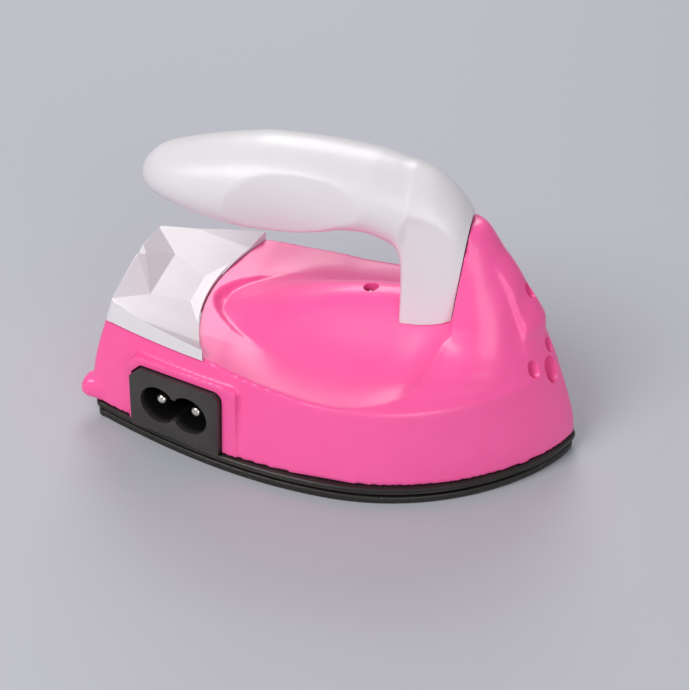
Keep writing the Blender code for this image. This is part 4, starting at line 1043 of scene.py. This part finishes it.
def behind_arc(name, low, high, set_back=0.0):
    """The space behind the arc where the rear cap meets the deck."""
    outline = []
    side = half_width + overrun
    for i in range(arc_steps + 1):
        y = side * (2 * i / arc_steps - 1)
        outline.append((arc_apex - set_back + arc_sweep * (y / arc_half) ** 2, y))
    rear = -half_length - overrun
    outline += [(rear, side), (rear, -side)]
    return prism(name, outline, low, high)


def cap_point(key, side=1, extra_x=0.0, y=None):
    """A named corner of the cap's facets, moved along the press or set out to a given side offset."""
    x_share, y_share, z_share = cap_shares[key]
    across = side * y_share * half_width if y is None else side * y
    return (x_share * half_length + extra_x, across, z_share * height)


def above_cap(name):
    """Everything over the cap's facets: two wings, a sunk floor and the small steep facet at the rear."""
    bm = bmesh.new()
    outside = half_width + overrun
    rear = -half_length - overrun - cap_shares["corner"][0] * half_length

    def corners(side):
        named = {key: cap_point(key, side) for key in ("peak", "corner", "floor", "crease", "fold", "tip")}
        named["peak_out"] = cap_point("peak", side, rear)
        named["corner_out"] = cap_point("corner", side, rear)
        named["corner_side"] = cap_point("corner", side, rear, outside)
        for key in ("fold", "tip"):
            named[key + "_side"] = cap_point(key, side, 0.0, outside)
        return named

    middle = {
        "notch": bm.verts.new(cap_point("notch")),
        "notch_out": bm.verts.new(cap_point("notch", 1, rear)),
        "front": bm.verts.new(cap_point("front")),
    }
    faces = (
        ("notch", "peak", "floor"),
        ("notch", "notch_out", "peak_out", "peak"),
        ("peak", "peak_out", "corner_out", "corner"),
        ("peak", "corner", "floor"),
        ("floor", "crease", "front"),
        ("corner", "crease", "floor"),
        ("corner", "fold", "crease"),
        ("fold", "tip", "crease"),
        ("corner", "corner_out", "corner_side"),
        ("corner", "corner_side", "fold_side", "fold"),
        ("fold", "fold_side", "tip_side", "tip"),
    )
    floors = []
    for side in (1, -1):
        named = {key: bm.verts.new(point) for key, point in corners(side).items()}
        named.update(middle)
        for face in faces:
            bm.faces.new([named[key] for key in face])
        floors.append(named["floor"])
    bm.faces.new((middle["notch"], floors[0], middle["front"], floors[1]))
    bmesh.ops.triangulate(bm, faces=bm.faces)
    sheet = bm.faces[:]
    border = [edge for edge in bm.edges if len(edge.link_faces) == 1]
    top = height + overrun
    lifted = {vertex: bm.verts.new((vertex.co.x, vertex.co.y, top)) for vertex in bm.verts[:]}
    for face in sheet:
        bm.faces.new([lifted[vertex] for vertex in face.verts])
    for edge in border:
        first, second = edge.verts
        bm.faces.new((first, second, lifted[second], lifted[first]))
    return solid(name, bm)


def block(name, low, high):
    outline = ((low[0], low[1]), (high[0], low[1]), (high[0], high[1]), (low[0], high[1]))
    return prism(name, outline, low[2], high[2])


def base_prism(name, inset, low, high):
    return loft(name, [base_ring(low, inset), base_ring(high, inset)])


def soleplate():
    """The coated plate: a lip with rounded edges and a raised block with its threaded holes."""
    made = loft("coated_plate", [base_ring(level * mm, inset * mm) for level, inset in lip_profile])
    join(made, base_prism("block", block_inset, lip_height / 2, block_top))
    holes = [(centre, thread_bore) for centre in sole_screw_places + clamp_screw_places]
    holes += [(centre, small_thread_bore) for centre in clip_screw_places]
    for centre, bore in holes:
        cut(made, cylinder("thread", centre, bore, block_top - thread_depth, block_top + overrun))
    return shade_round(made, base_crisp)


def groove_ring(level, inset):
    """An outline of the frame whose groove runs out towards the nose."""
    inner = base_ring(level, inset)
    if inset <= groove_end_inset:
        return inner
    start, end = (share * half_length for share in groove_end_shares)
    ring = []
    for deep, shallow in zip(inner, base_ring(level, groove_end_inset)):
        ring.append(deep.lerp(shallow, softened(held((shallow.x - start) / (end - start)))))
    return ring


def base_frame():
    """The black frame: a lined rim over a recessed neck, with its screw bridges and posts inside."""
    made = loft("lined_frame", [groove_ring(level * mm, inset * mm) for level, inset in frame_profile])
    cut(made, base_prism("frame_opening", frame_inner_inset, frame_bottom - overrun, rim_top + overrun))
    rear = rear_edge_share * half_length
    block_rear = rear + block_inset
    low = (rear + frame_inner_inset - wall, -rear_bridge_half, frame_bottom)
    high = (block_rear - seat_gap * 1.5, rear_bridge_half, bridge_top)
    join(made, block("rear_wall", low, high))
    low = (low[0], -rear_bridge_half, bridge_bottom)
    high = (block_rear + rear_bridge_reach, rear_bridge_half, bridge_top - seat_gap / 3)
    join(made, block("rear_bridge", low, high))
    block_nose = half_length - block_inset
    low = (block_nose + seat_gap * 1.5, -nose_bridge_half, frame_bottom)
    join(made, block("nose_wall", low, (block_nose + bridge_wall, nose_bridge_half, bridge_top)))
    low = (block_nose - nose_bridge_reach, -nose_bridge_half + seat_gap, bridge_bottom)
    high = (block_nose + bridge_wall / 2, nose_bridge_half - seat_gap, bridge_top - seat_gap / 3)
    join(made, block("nose_bridge", low, high))
    for side in (1, -1):
        centre = (rear + post_inset, side * post_offset)
        post_top = shelf_height - shelf_thickness - seat_gap
        join(made, cylinder("post", centre, post_radius, bridge_bottom + bridge_thickness / 2, post_top))
        cut(made, cylinder("pilot", centre, thread_bore, bridge_bottom - seat_gap, shelf_height))
    for centre in sole_screw_places:
        cut(made, cylinder("screw_bore", centre, screw_bore, frame_bottom, bridge_top + overrun))
    return shade_round(made, base_crisp)


def heel_foot(side):
    """A rounded foot at the rear, on which the press stands when it is tipped back."""
    rear_x = rear_edge_share * half_length
    middle = side * heel_side_share * half_width
    rings = []
    for out_share, across_share, tall_share in heel_shares:
        half = heel_half_width * across_share
        top = shell_bottom + heel_height * tall_share
        bottom = shell_bottom + heel_height * (1 - tall_share) / 2
        points = []
        for i in range(round_sides):
            across, up = squarish(2 * math.pi * i / round_sides, heel_square_share)
            level = (top + bottom) / 2 + (top - bottom) / 2 * up
            points.append(Vector((rear_x - heel_length * out_share, middle + half * across, level)))
        rings.append(points)
    return loft("heel_foot", rings)


def inlet_loft(name, sections):
    """Skin sections of the inlet, each an outline as (across, level) and its depth behind the face."""
    rings = [[Vector((across, depth, level)) for across, level in outline] for outline, depth in sections]
    matrix = Matrix.Translation((inlet_x, inlet_y, 0)) @ Matrix.Rotation(inlet_turn, 4, "Z")
    return place(loft(name, rings), matrix)


def inlet_prism(name, outline, front, back):
    return inlet_loft(name, ((outline, front), (outline, back)))


def inlet_outline(grow=0.0):
    """The flange: square below, round at one upper corner and cut off at the other."""
    half = inlet_width / 2 + grow
    low = inlet_bottom - grow
    high = inlet_top + grow
    outline = [(-half, low), (half, low)]
    for i in range(corner_steps + 1):
        turn = math.pi / 2 * i / corner_steps
        across = half - inlet_round * (1 - math.cos(turn))
        outline.append((across, high - inlet_round * (1 - math.sin(turn))))
    outline += [(-half + inlet_corner, high), (-half, high - inlet_corner)]
    return outline


def inlet_body_outline(grow=0.0):
    """The body behind the flange, a little smaller all round."""
    half = inlet_width / 2 - inlet_body_inset + grow
    low = inlet_bottom + inlet_body_inset - grow
    high = inlet_top - inlet_body_inset + grow
    cut_corner = ((-half + inlet_corner, high), (-half, high - inlet_corner))
    return ((-half, low), (half, low), (half, high)) + cut_corner


def inlet_boss():
    """The raised surround of the socket on the shell's flank."""
    outline = (
        (-boss_rear, shell_bottom),
        (boss_front, shell_bottom),
        (boss_front, boss_top - wall / 2),
        (boss_front - wall / 2, boss_top),
        (-boss_rear + inlet_corner, boss_top),
        (-boss_rear, boss_top - inlet_corner),
    )
    return inlet_prism("inlet_boss", outline, boss_set_back, boss_set_back + boss_depth)


def nose_shield():
    """A raised shield on the nose: the shell's own form grown a little, within a pointed outline."""
    low, high = shield_span_shares
    rings = []
    for i in range(shield_levels + 1):
        share = low + (high - low) * i / shield_levels
        nose_grow = eased(shield_fade_shares, share, shield_nose_column) * shield_step
        side_grow = eased(shield_fade_shares, share, shield_side_column) * shield_side
        rings.append(shell_ring(share * height, 0.0, nose_grow, side_grow))
    made = loft("nose_shield", rings)
    outline = [(y * half_width, z * height) for y, z in shield_outline_shares]
    outline += [(-y, z) for y, z in reversed(outline[:-1]) if y > 0]
    ends = [[Vector((x, y, z)) for y, z in outline] for x in (horn_back + wall * 2, half_length + overrun)]
    return keep_common(made, loft("shield_outline", ends))


def nose_at(level, across):
    """Place of the nose's surface at a level and a side offset."""
    half, nose = (eased(flank_shares, level / height, column) for column in (half_column, nose_column))
    station = eased(flank_shares, level / height, station_column)
    bow = eased(bow_shares, level / height, 1)
    left = abs(across) / (half * half_width) * closing(station, widest_share, nose, bow)
    return (widest_share + (nose - widest_share) * math.sqrt(1 - left ** (2 / bow))) * half_length


def vent_bore(across, level, radius):
    """A bore through the nose wall, square to the ridge's slope and narrower across than it is tall."""
    made = cylinder("vent", (0, 0), radius, -vent_depth, vent_depth)
    place(made, Matrix.Scale(vent_narrow_share, 4, (0, 1, 0)))
    turn = Matrix.Rotation(math.pi / 2 - vent_tilt, 4, "Y")
    return place(made, Matrix.Translation((nose_at(level, across), across, level)) @ turn)


def deck_height(x):
    """Level of the deck on the middle line."""
    return deck_row(x)[0][1]


def shell():
    """The pink moulding: flank and horn, sunk deck, shelf for the cap, inlet boss, heel feet and vents."""
    made = shell_loft("pink_shell", 0.0)
    cut(made, above_deck("deck_cutter"))
    join(made, nose_shield(), heel_foot(1), heel_foot(-1), inlet_boss())
    moulded_skin(made, shell_cell)
    cut(made, behind_arc("cap_cutter", seam_height - seat_gap, height + overrun))
    inner = shell_loft("shelf_cutter", wall, overrun)
    keep_common(inner, behind_arc("shelf_reach", shelf_height, seam_height + overrun, seat_gap))
    cut(made, inner)
    hollow = shell_loft("hollow", wall, overrun)
    cut(hollow, above_deck("hollow_roof", wall, horn_back + wall))
    cut(hollow, behind_arc("hollow_shelf", shelf_height - shelf_thickness, height + overrun, -wall))
    cut(made, hollow)
    pocket = inlet_prism("inlet_pocket", inlet_outline(seat_gap), -overrun, inlet_flange + seat_gap)
    body_depth = inlet_flange + inlet_body_depth + overrun
    join(pocket, inlet_prism("inlet_body_pocket", inlet_body_outline(seat_gap), 0, body_depth))
    cut(made, pocket)
    lamp_floor = deck_height(lamp_x) - lamp_height * 2
    cut(made, cylinder("lamp_bore", (lamp_x, 0), lamp_hole_radius, lamp_floor, lamp_bore_top))
    for vent in vents:
        cut(made, vent_bore(*vent))
    return shade_round(made, moulding_crisp)


def rear_cap():
    """The white faceted cap behind the deck, with a plug that drops into the shell."""
    made = shell_loft("white_cap", 0.0)
    keep_common(made, behind_arc("cap_reach", seam_height, height + overrun / 2, seat_gap))
    cut(made, above_cap("cap_facets"))
    bevelled(made, cap_edge, cap_edge_steps, cap_edge_angle)
    plug = shell_loft("cap_plug", wall + seat_gap, overrun)
    plug_top = seam_height + wall / 4
    keep_common(plug, behind_arc("plug_reach", shelf_height + seat_gap, plug_top, seat_gap * 2))
    join(made, plug)
    return shade_round(made, facet_crisp)


def grip_ring(x, level, half, tall):
    """A section through the grip: an oval, very slightly squared."""
    points = []
    for i in range(grip_sides):
        across, up = squarish(math.pi / 2 - 2 * math.pi * i / grip_sides, 1 / grip_square_share)
        points.append(Vector((x, half * across, level + tall * up)))
    return points


def stem_ring(x, top, half, foot_half):
    """A section through the stem: round on top like the grip, then from its crease down to the foot."""
    quarter = grip_sides // 4
    crease = eased(stem_crease_shares, x / half_length, 1) * height
    down = []
    for i in range(1, quarter + 1):
        turn = stem_crease_turn * i / quarter
        drop = (1 - math.cos(turn)) / (1 - math.cos(stem_crease_turn))
        down.append((half * math.sin(turn) / math.sin(stem_crease_turn), top - (top - crease) * drop))
    low_steps = grip_sides // 2 - quarter - 1
    for i in range(1, low_steps + 1):
        part = i / low_steps
        across = half + (foot_half - half) * math.sin(part * math.pi / 2) ** foot_bow_share
        down.append((across, crease + (stem_bottom - crease) * part))
    points = [Vector((x, 0, top))]
    points += [Vector((x, y, z)) for y, z in down]
    points.append(Vector((x, 0, stem_bottom)))
    points += [Vector((x, -y, z)) for y, z in reversed(down)]
    return points


def finger_flat(side):
    """The space cut from the lower flank of the grip for the fingers that curl under it."""
    middle = (finger_flat_start + finger_flat_end) / 2
    reach = (finger_flat_end - finger_flat_start) / 2
    rings = []
    for row in range(finger_flat_rows + 1):
        span = 2 * row / finger_flat_rows - 1
        bulge = finger_flat_bulge * (1 - span * span)
        outline = []
        for i in range(finger_flat_steps + 1):
            share = 2 * i / finger_flat_steps - 1
            outline.append((middle + reach * share, finger_flat_depth * (share * share - 1) + bulge))
        outline += [(middle + reach, overrun * 3), (middle - reach, overrun * 3)]
        rings.append([Vector((x, out, span * finger_flat_half)) for x, out in outline])
    made = loft("finger_flat", rings)
    turn = Matrix.Rotation(-finger_flat_tilt, 4, "X")
    place(made, Matrix.Translation((0, finger_flat_offset, finger_flat_level)) @ turn)
    if side < 0:
        place(made, Matrix.Scale(-1, 4, (0, 1, 0)))
        made.data.flip_normals()
    return made


def horn_space():
    """Everything in front of the horn's leaning back face, with the close gap that the stem keeps to it."""
    foot = deck_height(horn_back)
    top = height + overrun
    low = stem_bottom - overrun
    rings = []
    for y in (-half_width, half_width):
        lower = horn_back - horn_gap + horn_lean * (low - foot)
        upper = horn_back - horn_gap + horn_lean * (top - foot)
        corners = ((lower, low), (half_length, low), (half_length, top), (upper, top))
        rings.append([Vector((x, y, z)) for x, z in corners])
    return loft("horn_space", rings)


def handle():
    """The white handle: a long grip that curves down into the stem behind the horn."""
    rings = []
    first = grip_shares[0][0]
    last = grip_shares[-1][0]
    for i in range(grip_stations + 1):
        station = first + (last - first) * (i / grip_stations) ** grip_crowding
        level, half, tall = (eased(grip_shares, station, column) for column in (1, 2, 3))
        rings.append(grip_ring(station * half_length, level * height, half * half_width, tall * height))
    first = stem_shares[0][0]
    last = stem_shares[-1][0]
    for i in range(stem_stations + 1):
        station = first + (last - first) * i / stem_stations
        top, half, foot_half = (eased(stem_shares, station, column) for column in (1, 2, 3))
        sizes = (top * height, half * half_width, foot_half * half_width)
        rings.append(stem_ring(station * half_length, *sizes))
    made = loft("white_handle", rings)
    for side in (1, -1):
        cut(made, finger_flat(side))
    moulded_skin(made, handle_cell)
    cut(made, horn_space())
    cut(made, sheet_solid("deck_below", deck_points(-seat_gap, horn_back + overrun * 2), 0.0))
    return shade_round(made, moulding_crisp)


def figure_eight():
    """Outline of the recess: two round lobes joined by a narrower waist."""
    radius = recess_height / 2
    reach = recess_width / 2 - radius
    waist = recess_waist / 2
    open_turn = math.acos(min(waist / radius, 1)) * lobe_open_share
    outline = []
    for side in (1, -1):
        first = math.pi / 2 + open_turn
        for i in range(lobe_steps + 1):
            turn = first - 2 * first * i / lobe_steps
            across = max(reach + radius * math.cos(turn), waist / 4)
            outline.append((side * across, inlet_middle + side * radius * math.sin(turn)))
    return outline


def bevelled(made, size, steps, angle):
    """Break the edges that turn by more than an angle in degrees."""
    bevel = made.modifiers.new("edges", "BEVEL")
    bevel.width = size
    bevel.segments = steps
    bevel.limit_method = "ANGLE"
    bevel.angle_limit = math.radians(angle)
    bevel.harden_normals = False
    return settle(made)


def inlet():
    """The socket: a flange with softened edges, its body and the recess."""
    made = inlet_prism("inlet_socket", inlet_outline(), 0.0, inlet_flange)
    bevelled(made, flange_edge, flange_edge_steps, flange_edge_angle)
    depth = inlet_flange + inlet_body_depth
    join(made, inlet_prism("inlet_body", inlet_body_outline(), inlet_flange / 2, depth))
    cut(made, inlet_prism("recess", figure_eight(), -overrun, depth - inlet_back_wall))
    return shade_round(made, socket_crisp)


def inlet_pin(name, side):
    """A round contact pin with a domed tip."""
    profile = []
    for i in range(1, pin_tip_steps + 1):
        turn = math.pi / 2 * i / pin_tip_steps
        profile.append((pin_radius * math.sin(turn), pin_radius * pin_tip_share * (1 - math.cos(turn))))
    back = inlet_flange + inlet_body_depth + pin_tail - pin_sunk
    profile += [(pin_radius, back - pin_chamfer), (pin_radius - pin_chamfer, back)]
    middle = (side * pin_spacing / 2, inlet_middle)
    sections = [(disc(middle, radius), pin_sunk + depth) for radius, depth in profile]
    return shade_round(inlet_loft(name, sections), turned_crisp)


def lamp():
    """The indicator's lens: a flanged cylinder with a domed end under the hole in the deck."""
    top = deck_height(lamp_x) - lamp_below_deck
    base = top - lamp_height
    profile = [(lamp_flange_radius, base), (lamp_flange_radius, base + lamp_flange)]
    profile += [(lamp_radius, base + lamp_flange)]
    for i in range(corner_steps * 2):
        turn = math.pi / 2 * i / corner_steps / 2
        profile.append((lamp_radius * math.cos(turn), top - lamp_radius * (1 - math.sin(turn))))
    rings = []
    for radius, level in profile:
        rings.append([Vector((x, y, level)) for x, y in disc((lamp_x, 0), radius)])
    return shade_round(loft("lamp_lens", rings), turned_crisp)


def outline_curve(name, inset, level):
    """The base's outline at a level as a closed chain of edges, for what follows it."""
    ring = base_ring(level, inset)
    mesh = bpy.data.meshes.new(name)
    mesh.from_pydata(ring, [(i, (i + 1) % len(ring)) for i in range(len(ring))], [])
    return link(name, mesh)


class Recipe:
    """A Geometry Nodes tree on one object, with named inputs, made into plain mesh at the end."""

    def __init__(self, name, inputs):
        self.tree = bpy.data.node_groups.new(name, "GeometryNodeTree")
        self.tree.interface.new_socket("Geometry", in_out="INPUT", socket_type="NodeSocketGeometry")
        for label, kind, value in inputs:
            socket = self.tree.interface.new_socket(label, in_out="INPUT", socket_type=kind)
            if value is not None:
                socket.default_value = value
        self.tree.interface.new_socket("Geometry", in_out="OUTPUT", socket_type="NodeSocketGeometry")
        self.entry = self.tree.nodes.new("NodeGroupInput")
        self.exit = self.tree.nodes.new("NodeGroupOutput")

    def add(self, kind, inputs, settings=(), output=0):
        """Add a node and return one of its output sockets."""
        made = self.tree.nodes.new(kind)
        for name, value in dict(settings).items():
            setattr(made, name, value)
        for key, value in inputs.items():
            if isinstance(value, bpy.types.NodeSocket):
                self.tree.links.new(value, made.inputs[key])
            else:
                made.inputs[key].default_value = value
        return made.outputs[output]

    def given(self, label):
        return self.entry.outputs[label]

    def apply(self, made, shape, material):
        """Finish the tree with real meshes and their material, and run it on an object."""
        real = self.add("GeometryNodeRealizeInstances", {"Geometry": shape})
        coated = self.add("GeometryNodeSetMaterial", {"Geometry": real, "Material": material})
        self.tree.links.new(coated, self.exit.inputs["Geometry"])
        modifier = made.modifiers.new("recipe", "NODES")
        modifier.node_group = self.tree
        return settle(made)


def lip_specks(finish):
    """Grit of the coating along the lip's upper edge: small flattened grains at random places."""
    made = outline_curve("lip_specks", lip_inset + speck_inset, lip_height - speck_sunk)
    recipe = Recipe("grains_along_an_edge", (
        ("Count", "NodeSocketInt", speck_count),
        ("Grain size", "NodeSocketFloat", speck_size),
        ("Scatter", "NodeSocketFloat", speck_scatter),
        ("Seed", "NodeSocketInt", speck_seed),
    ))
    seed = recipe.given("Seed")
    path = recipe.add("GeometryNodeMeshToCurve", {"Mesh": recipe.given("Geometry")})
    spots = recipe.add("GeometryNodeCurveToPoints", {"Curve": path, "Count": recipe.given("Count")})
    scatter = recipe.given("Scatter")
    low = recipe.add("ShaderNodeMath", {0: scatter, 1: -1.0}, {"operation": "MULTIPLY"})
    shifts = []
    for draw in (1, 2):
        sideways = {"Min": low, "Max": scatter, "Seed": seed, "ID": index_socket(recipe, draw)}
        shifts.append(recipe.add("FunctionNodeRandomValue", sideways, {"data_type": "FLOAT"}, 1))
    shift = recipe.add("ShaderNodeCombineXYZ", {"X": shifts[0], "Y": shifts[1], "Z": 0.0})
    moved = recipe.add("GeometryNodeSetPosition", {"Geometry": spots, "Offset": shift})
    ball = {"Radius": recipe.given("Grain size"), "Subdivisions": speck_rounds}
    grain = recipe.add("GeometryNodeMeshIcoSphere", ball)
    flat = recipe.add("GeometryNodeTransform", {"Geometry": grain, "Scale": (1.0, 1.0, speck_flatness)})
    range_of_sizes = {2: speck_smallest, 3: 1.0, "Seed": seed}
    sizes = recipe.add("FunctionNodeRandomValue", range_of_sizes, {"data_type": "FLOAT"}, 1)
    grains = recipe.add("GeometryNodeInstanceOnPoints", {"Points": moved, "Instance": flat, "Scale": sizes})
    return shade_round(recipe.apply(made, grains, finish.material), grain_crisp)


def index_socket(recipe, draw):
    """A different whole number for each point and each draw."""
    index = recipe.add("GeometryNodeInputIndex", {})
    return recipe.add("ShaderNodeMath", {0: index, 1: draw * speck_draw_step}, {"operation": "ADD"})


def frame_bead(finish):
    """The fine raised line that follows the lower edge of the frame."""
    made = outline_curve("frame_bead", bead_inset, bead_level)
    recipe = Recipe("bead_along_an_edge", (
        ("Radius", "NodeSocketFloat", bead_radius),
        ("Sides", "NodeSocketInt", bead_sides),
    ))
    path = recipe.add("GeometryNodeMeshToCurve", {"Mesh": recipe.given("Geometry")})
    round_section = {"Radius": recipe.given("Radius"), "Resolution": recipe.given("Sides")}
    section = recipe.add("GeometryNodeCurvePrimitiveCircle", round_section)
    bead = recipe.add("GeometryNodeCurveToMesh", {"Curve": path, "Profile Curve": section})
    return shade_round(recipe.apply(made, bead, finish.material), grain_crisp)


def finish_piece(piece, finish, slot_name, *nodes):
    """Coat a piece, let it ride on the press's one body, and put it in the place of its CAD nodes."""
    piece.data.materials.clear()
    piece.data.materials.append(finish.material)
    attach(piece, "root")
    if nodes:
        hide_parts(*nodes)


def dress(finishes):
    """Give every CAD node that still shows the finish of its slot."""
    for part in frame["record"]["subparts"]:
        node = frame["nodes"][part["node"]]
        node.data.materials.clear()
        node.data.materials.append(finishes[part["material_slot"]].material)


def camera():
    """The camera that took the photograph, from the near side and a little towards the nose."""
    data = bpy.data.cameras.new("camera")
    data.sensor_width = sensor
    data.lens = camera_focus_px * sensor / photo_height
    data.clip_start = clip_near
    data.clip_end = clip_far
    made = link("camera", data)
    az = camera_azimuth
    el = camera_elevation
    back = Vector((math.sin(az) * math.cos(el), -math.cos(az) * math.cos(el), math.sin(el)))
    level_right = Vector((math.cos(az), math.sin(az), 0.0))
    level_up = back.cross(level_right)
    right = level_right * math.cos(camera_roll) + level_up * math.sin(camera_roll)
    up = level_up * math.cos(camera_roll) - level_right * math.sin(camera_roll)
    turn = Matrix((right, up, back)).transposed().to_4x4()
    made.matrix_world = Matrix.Translation(camera_target + back * camera_distance) @ turn
    bpy.context.scene.camera = made


def area_lamp(name, spot, aim_height, size, power, colour):
    """A round soft lamp that looks at a point over the middle of the press."""
    data = bpy.data.lights.new(name, "AREA")
    data.shape = "DISK"
    data.size = size
    data.energy = power
    data.color = colour
    direction = Vector((0, 0, aim_height)) - Vector(spot)
    turn = direction.to_track_quat("-Z", "Y").to_matrix().to_4x4()
    link(name, data).matrix_world = Matrix.Translation(spot) @ turn


def studio():
    """A pale floor, soft lamps and a pale surround."""
    floor_mesh = bpy.data.meshes.new("floor")
    low, high = -floor_reach, floor_reach
    corners = [(low, low, 0), (high, low, 0), (high, high, 0), (low, high, 0)]
    floor_mesh.from_pydata(corners, [], [tuple(range(len(corners)))])
    floor = link("floor", floor_mesh)
    paper = Finish("floor_paper", floor_roughness)
    paper.set("Base Color", srgb(floor_colour))
    floor_mesh.materials.append(paper.material)
    floor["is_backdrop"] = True
    for name, setting in lamps.items():
        area_lamp(name, *setting)
    world = bpy.data.worlds.new("surround")
    world.use_nodes = True
    bpy.context.scene.world = world
    surround = world.node_tree.nodes["Background"].inputs
    surround["Color"].default_value = surround_colour
    surround["Strength"].default_value = surround_strength


finishes = {
    "pink_shell": pink_plastic(),
    "white_shell": white_plastic(),
    "black_frame": frame_plastic(),
    "black_coating": sole_coating(),
    "inlet_black": inlet_plastic(),
    "glass_fibre": braided("glass_fibre", "EFEBE2", "C9C3B4"),
    "lamp_red": lamp_red(),
}
# Metals: two colours and the roughness
metals = {
    "plated_pin": ("E8E4DC", "D6D0C6", 0.24),
    "zinc_steel": ("CBCBC8", "B3B4B4", 0.34),
    "fuse_case": ("D9C68A", "C4AE6C", 0.30),
}
# Dull materials: two colours, roughness, scales of the mottling and of the grain, and the grain's depth
matts = {
    "heater_ceramic": ("EFECE4", "E2DED2", 0.62, 300.0, 3000.0, 0.03 * mm),
    "mica": ("BFB197", "A8977A", 0.40, 500.0, 2200.0, 0.02 * mm),
    "holder_white": ("DEDBD6", "D0CCC4", 0.55, 250.0, 3500.0, 0.01 * mm),
    "resistor_body": ("CDBB9C", "BBA684", 0.40, 600.0, 2600.0, 0.01 * mm),
    "lead_brown": ("6E4A30", "5C3B24", 0.50, 300.0, 3800.0, 0.01 * mm),
    "lead_blue": ("30549C", "254582", 0.50, 300.0, 3800.0, 0.01 * mm),
    "lead_white": ("DAD8D3", "CCC9C2", 0.50, 300.0, 3800.0, 0.01 * mm),
}
for name, values in metals.items():
    finishes[name] = metal(name, *values)
for name, values in matts.items():
    finishes[name] = matt(name, *values)

camera()
studio()
bpy.context.scene.view_settings.view_transform = "Standard"
dress(finishes)

# Each piece with the slot of its finish and the CAD node that it stands for
pieces = (
    (shell(), "pink_shell", "upper_shell"),
    (rear_cap(), "white_shell", "rear_cap"),
    (handle(), "white_shell", "handle"),
    (inlet(), "inlet_black", "inlet_housing"),
    (inlet_pin("pin_live", 1), "plated_pin", "inlet_pin_live"),
    (inlet_pin("pin_neutral", -1), "plated_pin", "inlet_pin_neutral"),
    (soleplate(), "black_coating", "soleplate"),
    (base_frame(), "black_frame", "base_frame"),
    (lamp(), "lamp_red", "indicator_lamp"),
    (lip_specks(finishes["black_coating"]), "black_coating"),
    (frame_bead(finishes["black_frame"]), "black_frame"),
)
for piece, slot, *nodes in pieces:
    finish_piece(piece, finishes[slot], slot, *nodes)

boxes = {"cad": cad_box, "visual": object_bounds()}
boxes = {name: [list(corner) for corner in box] for name, box in boxes.items()}
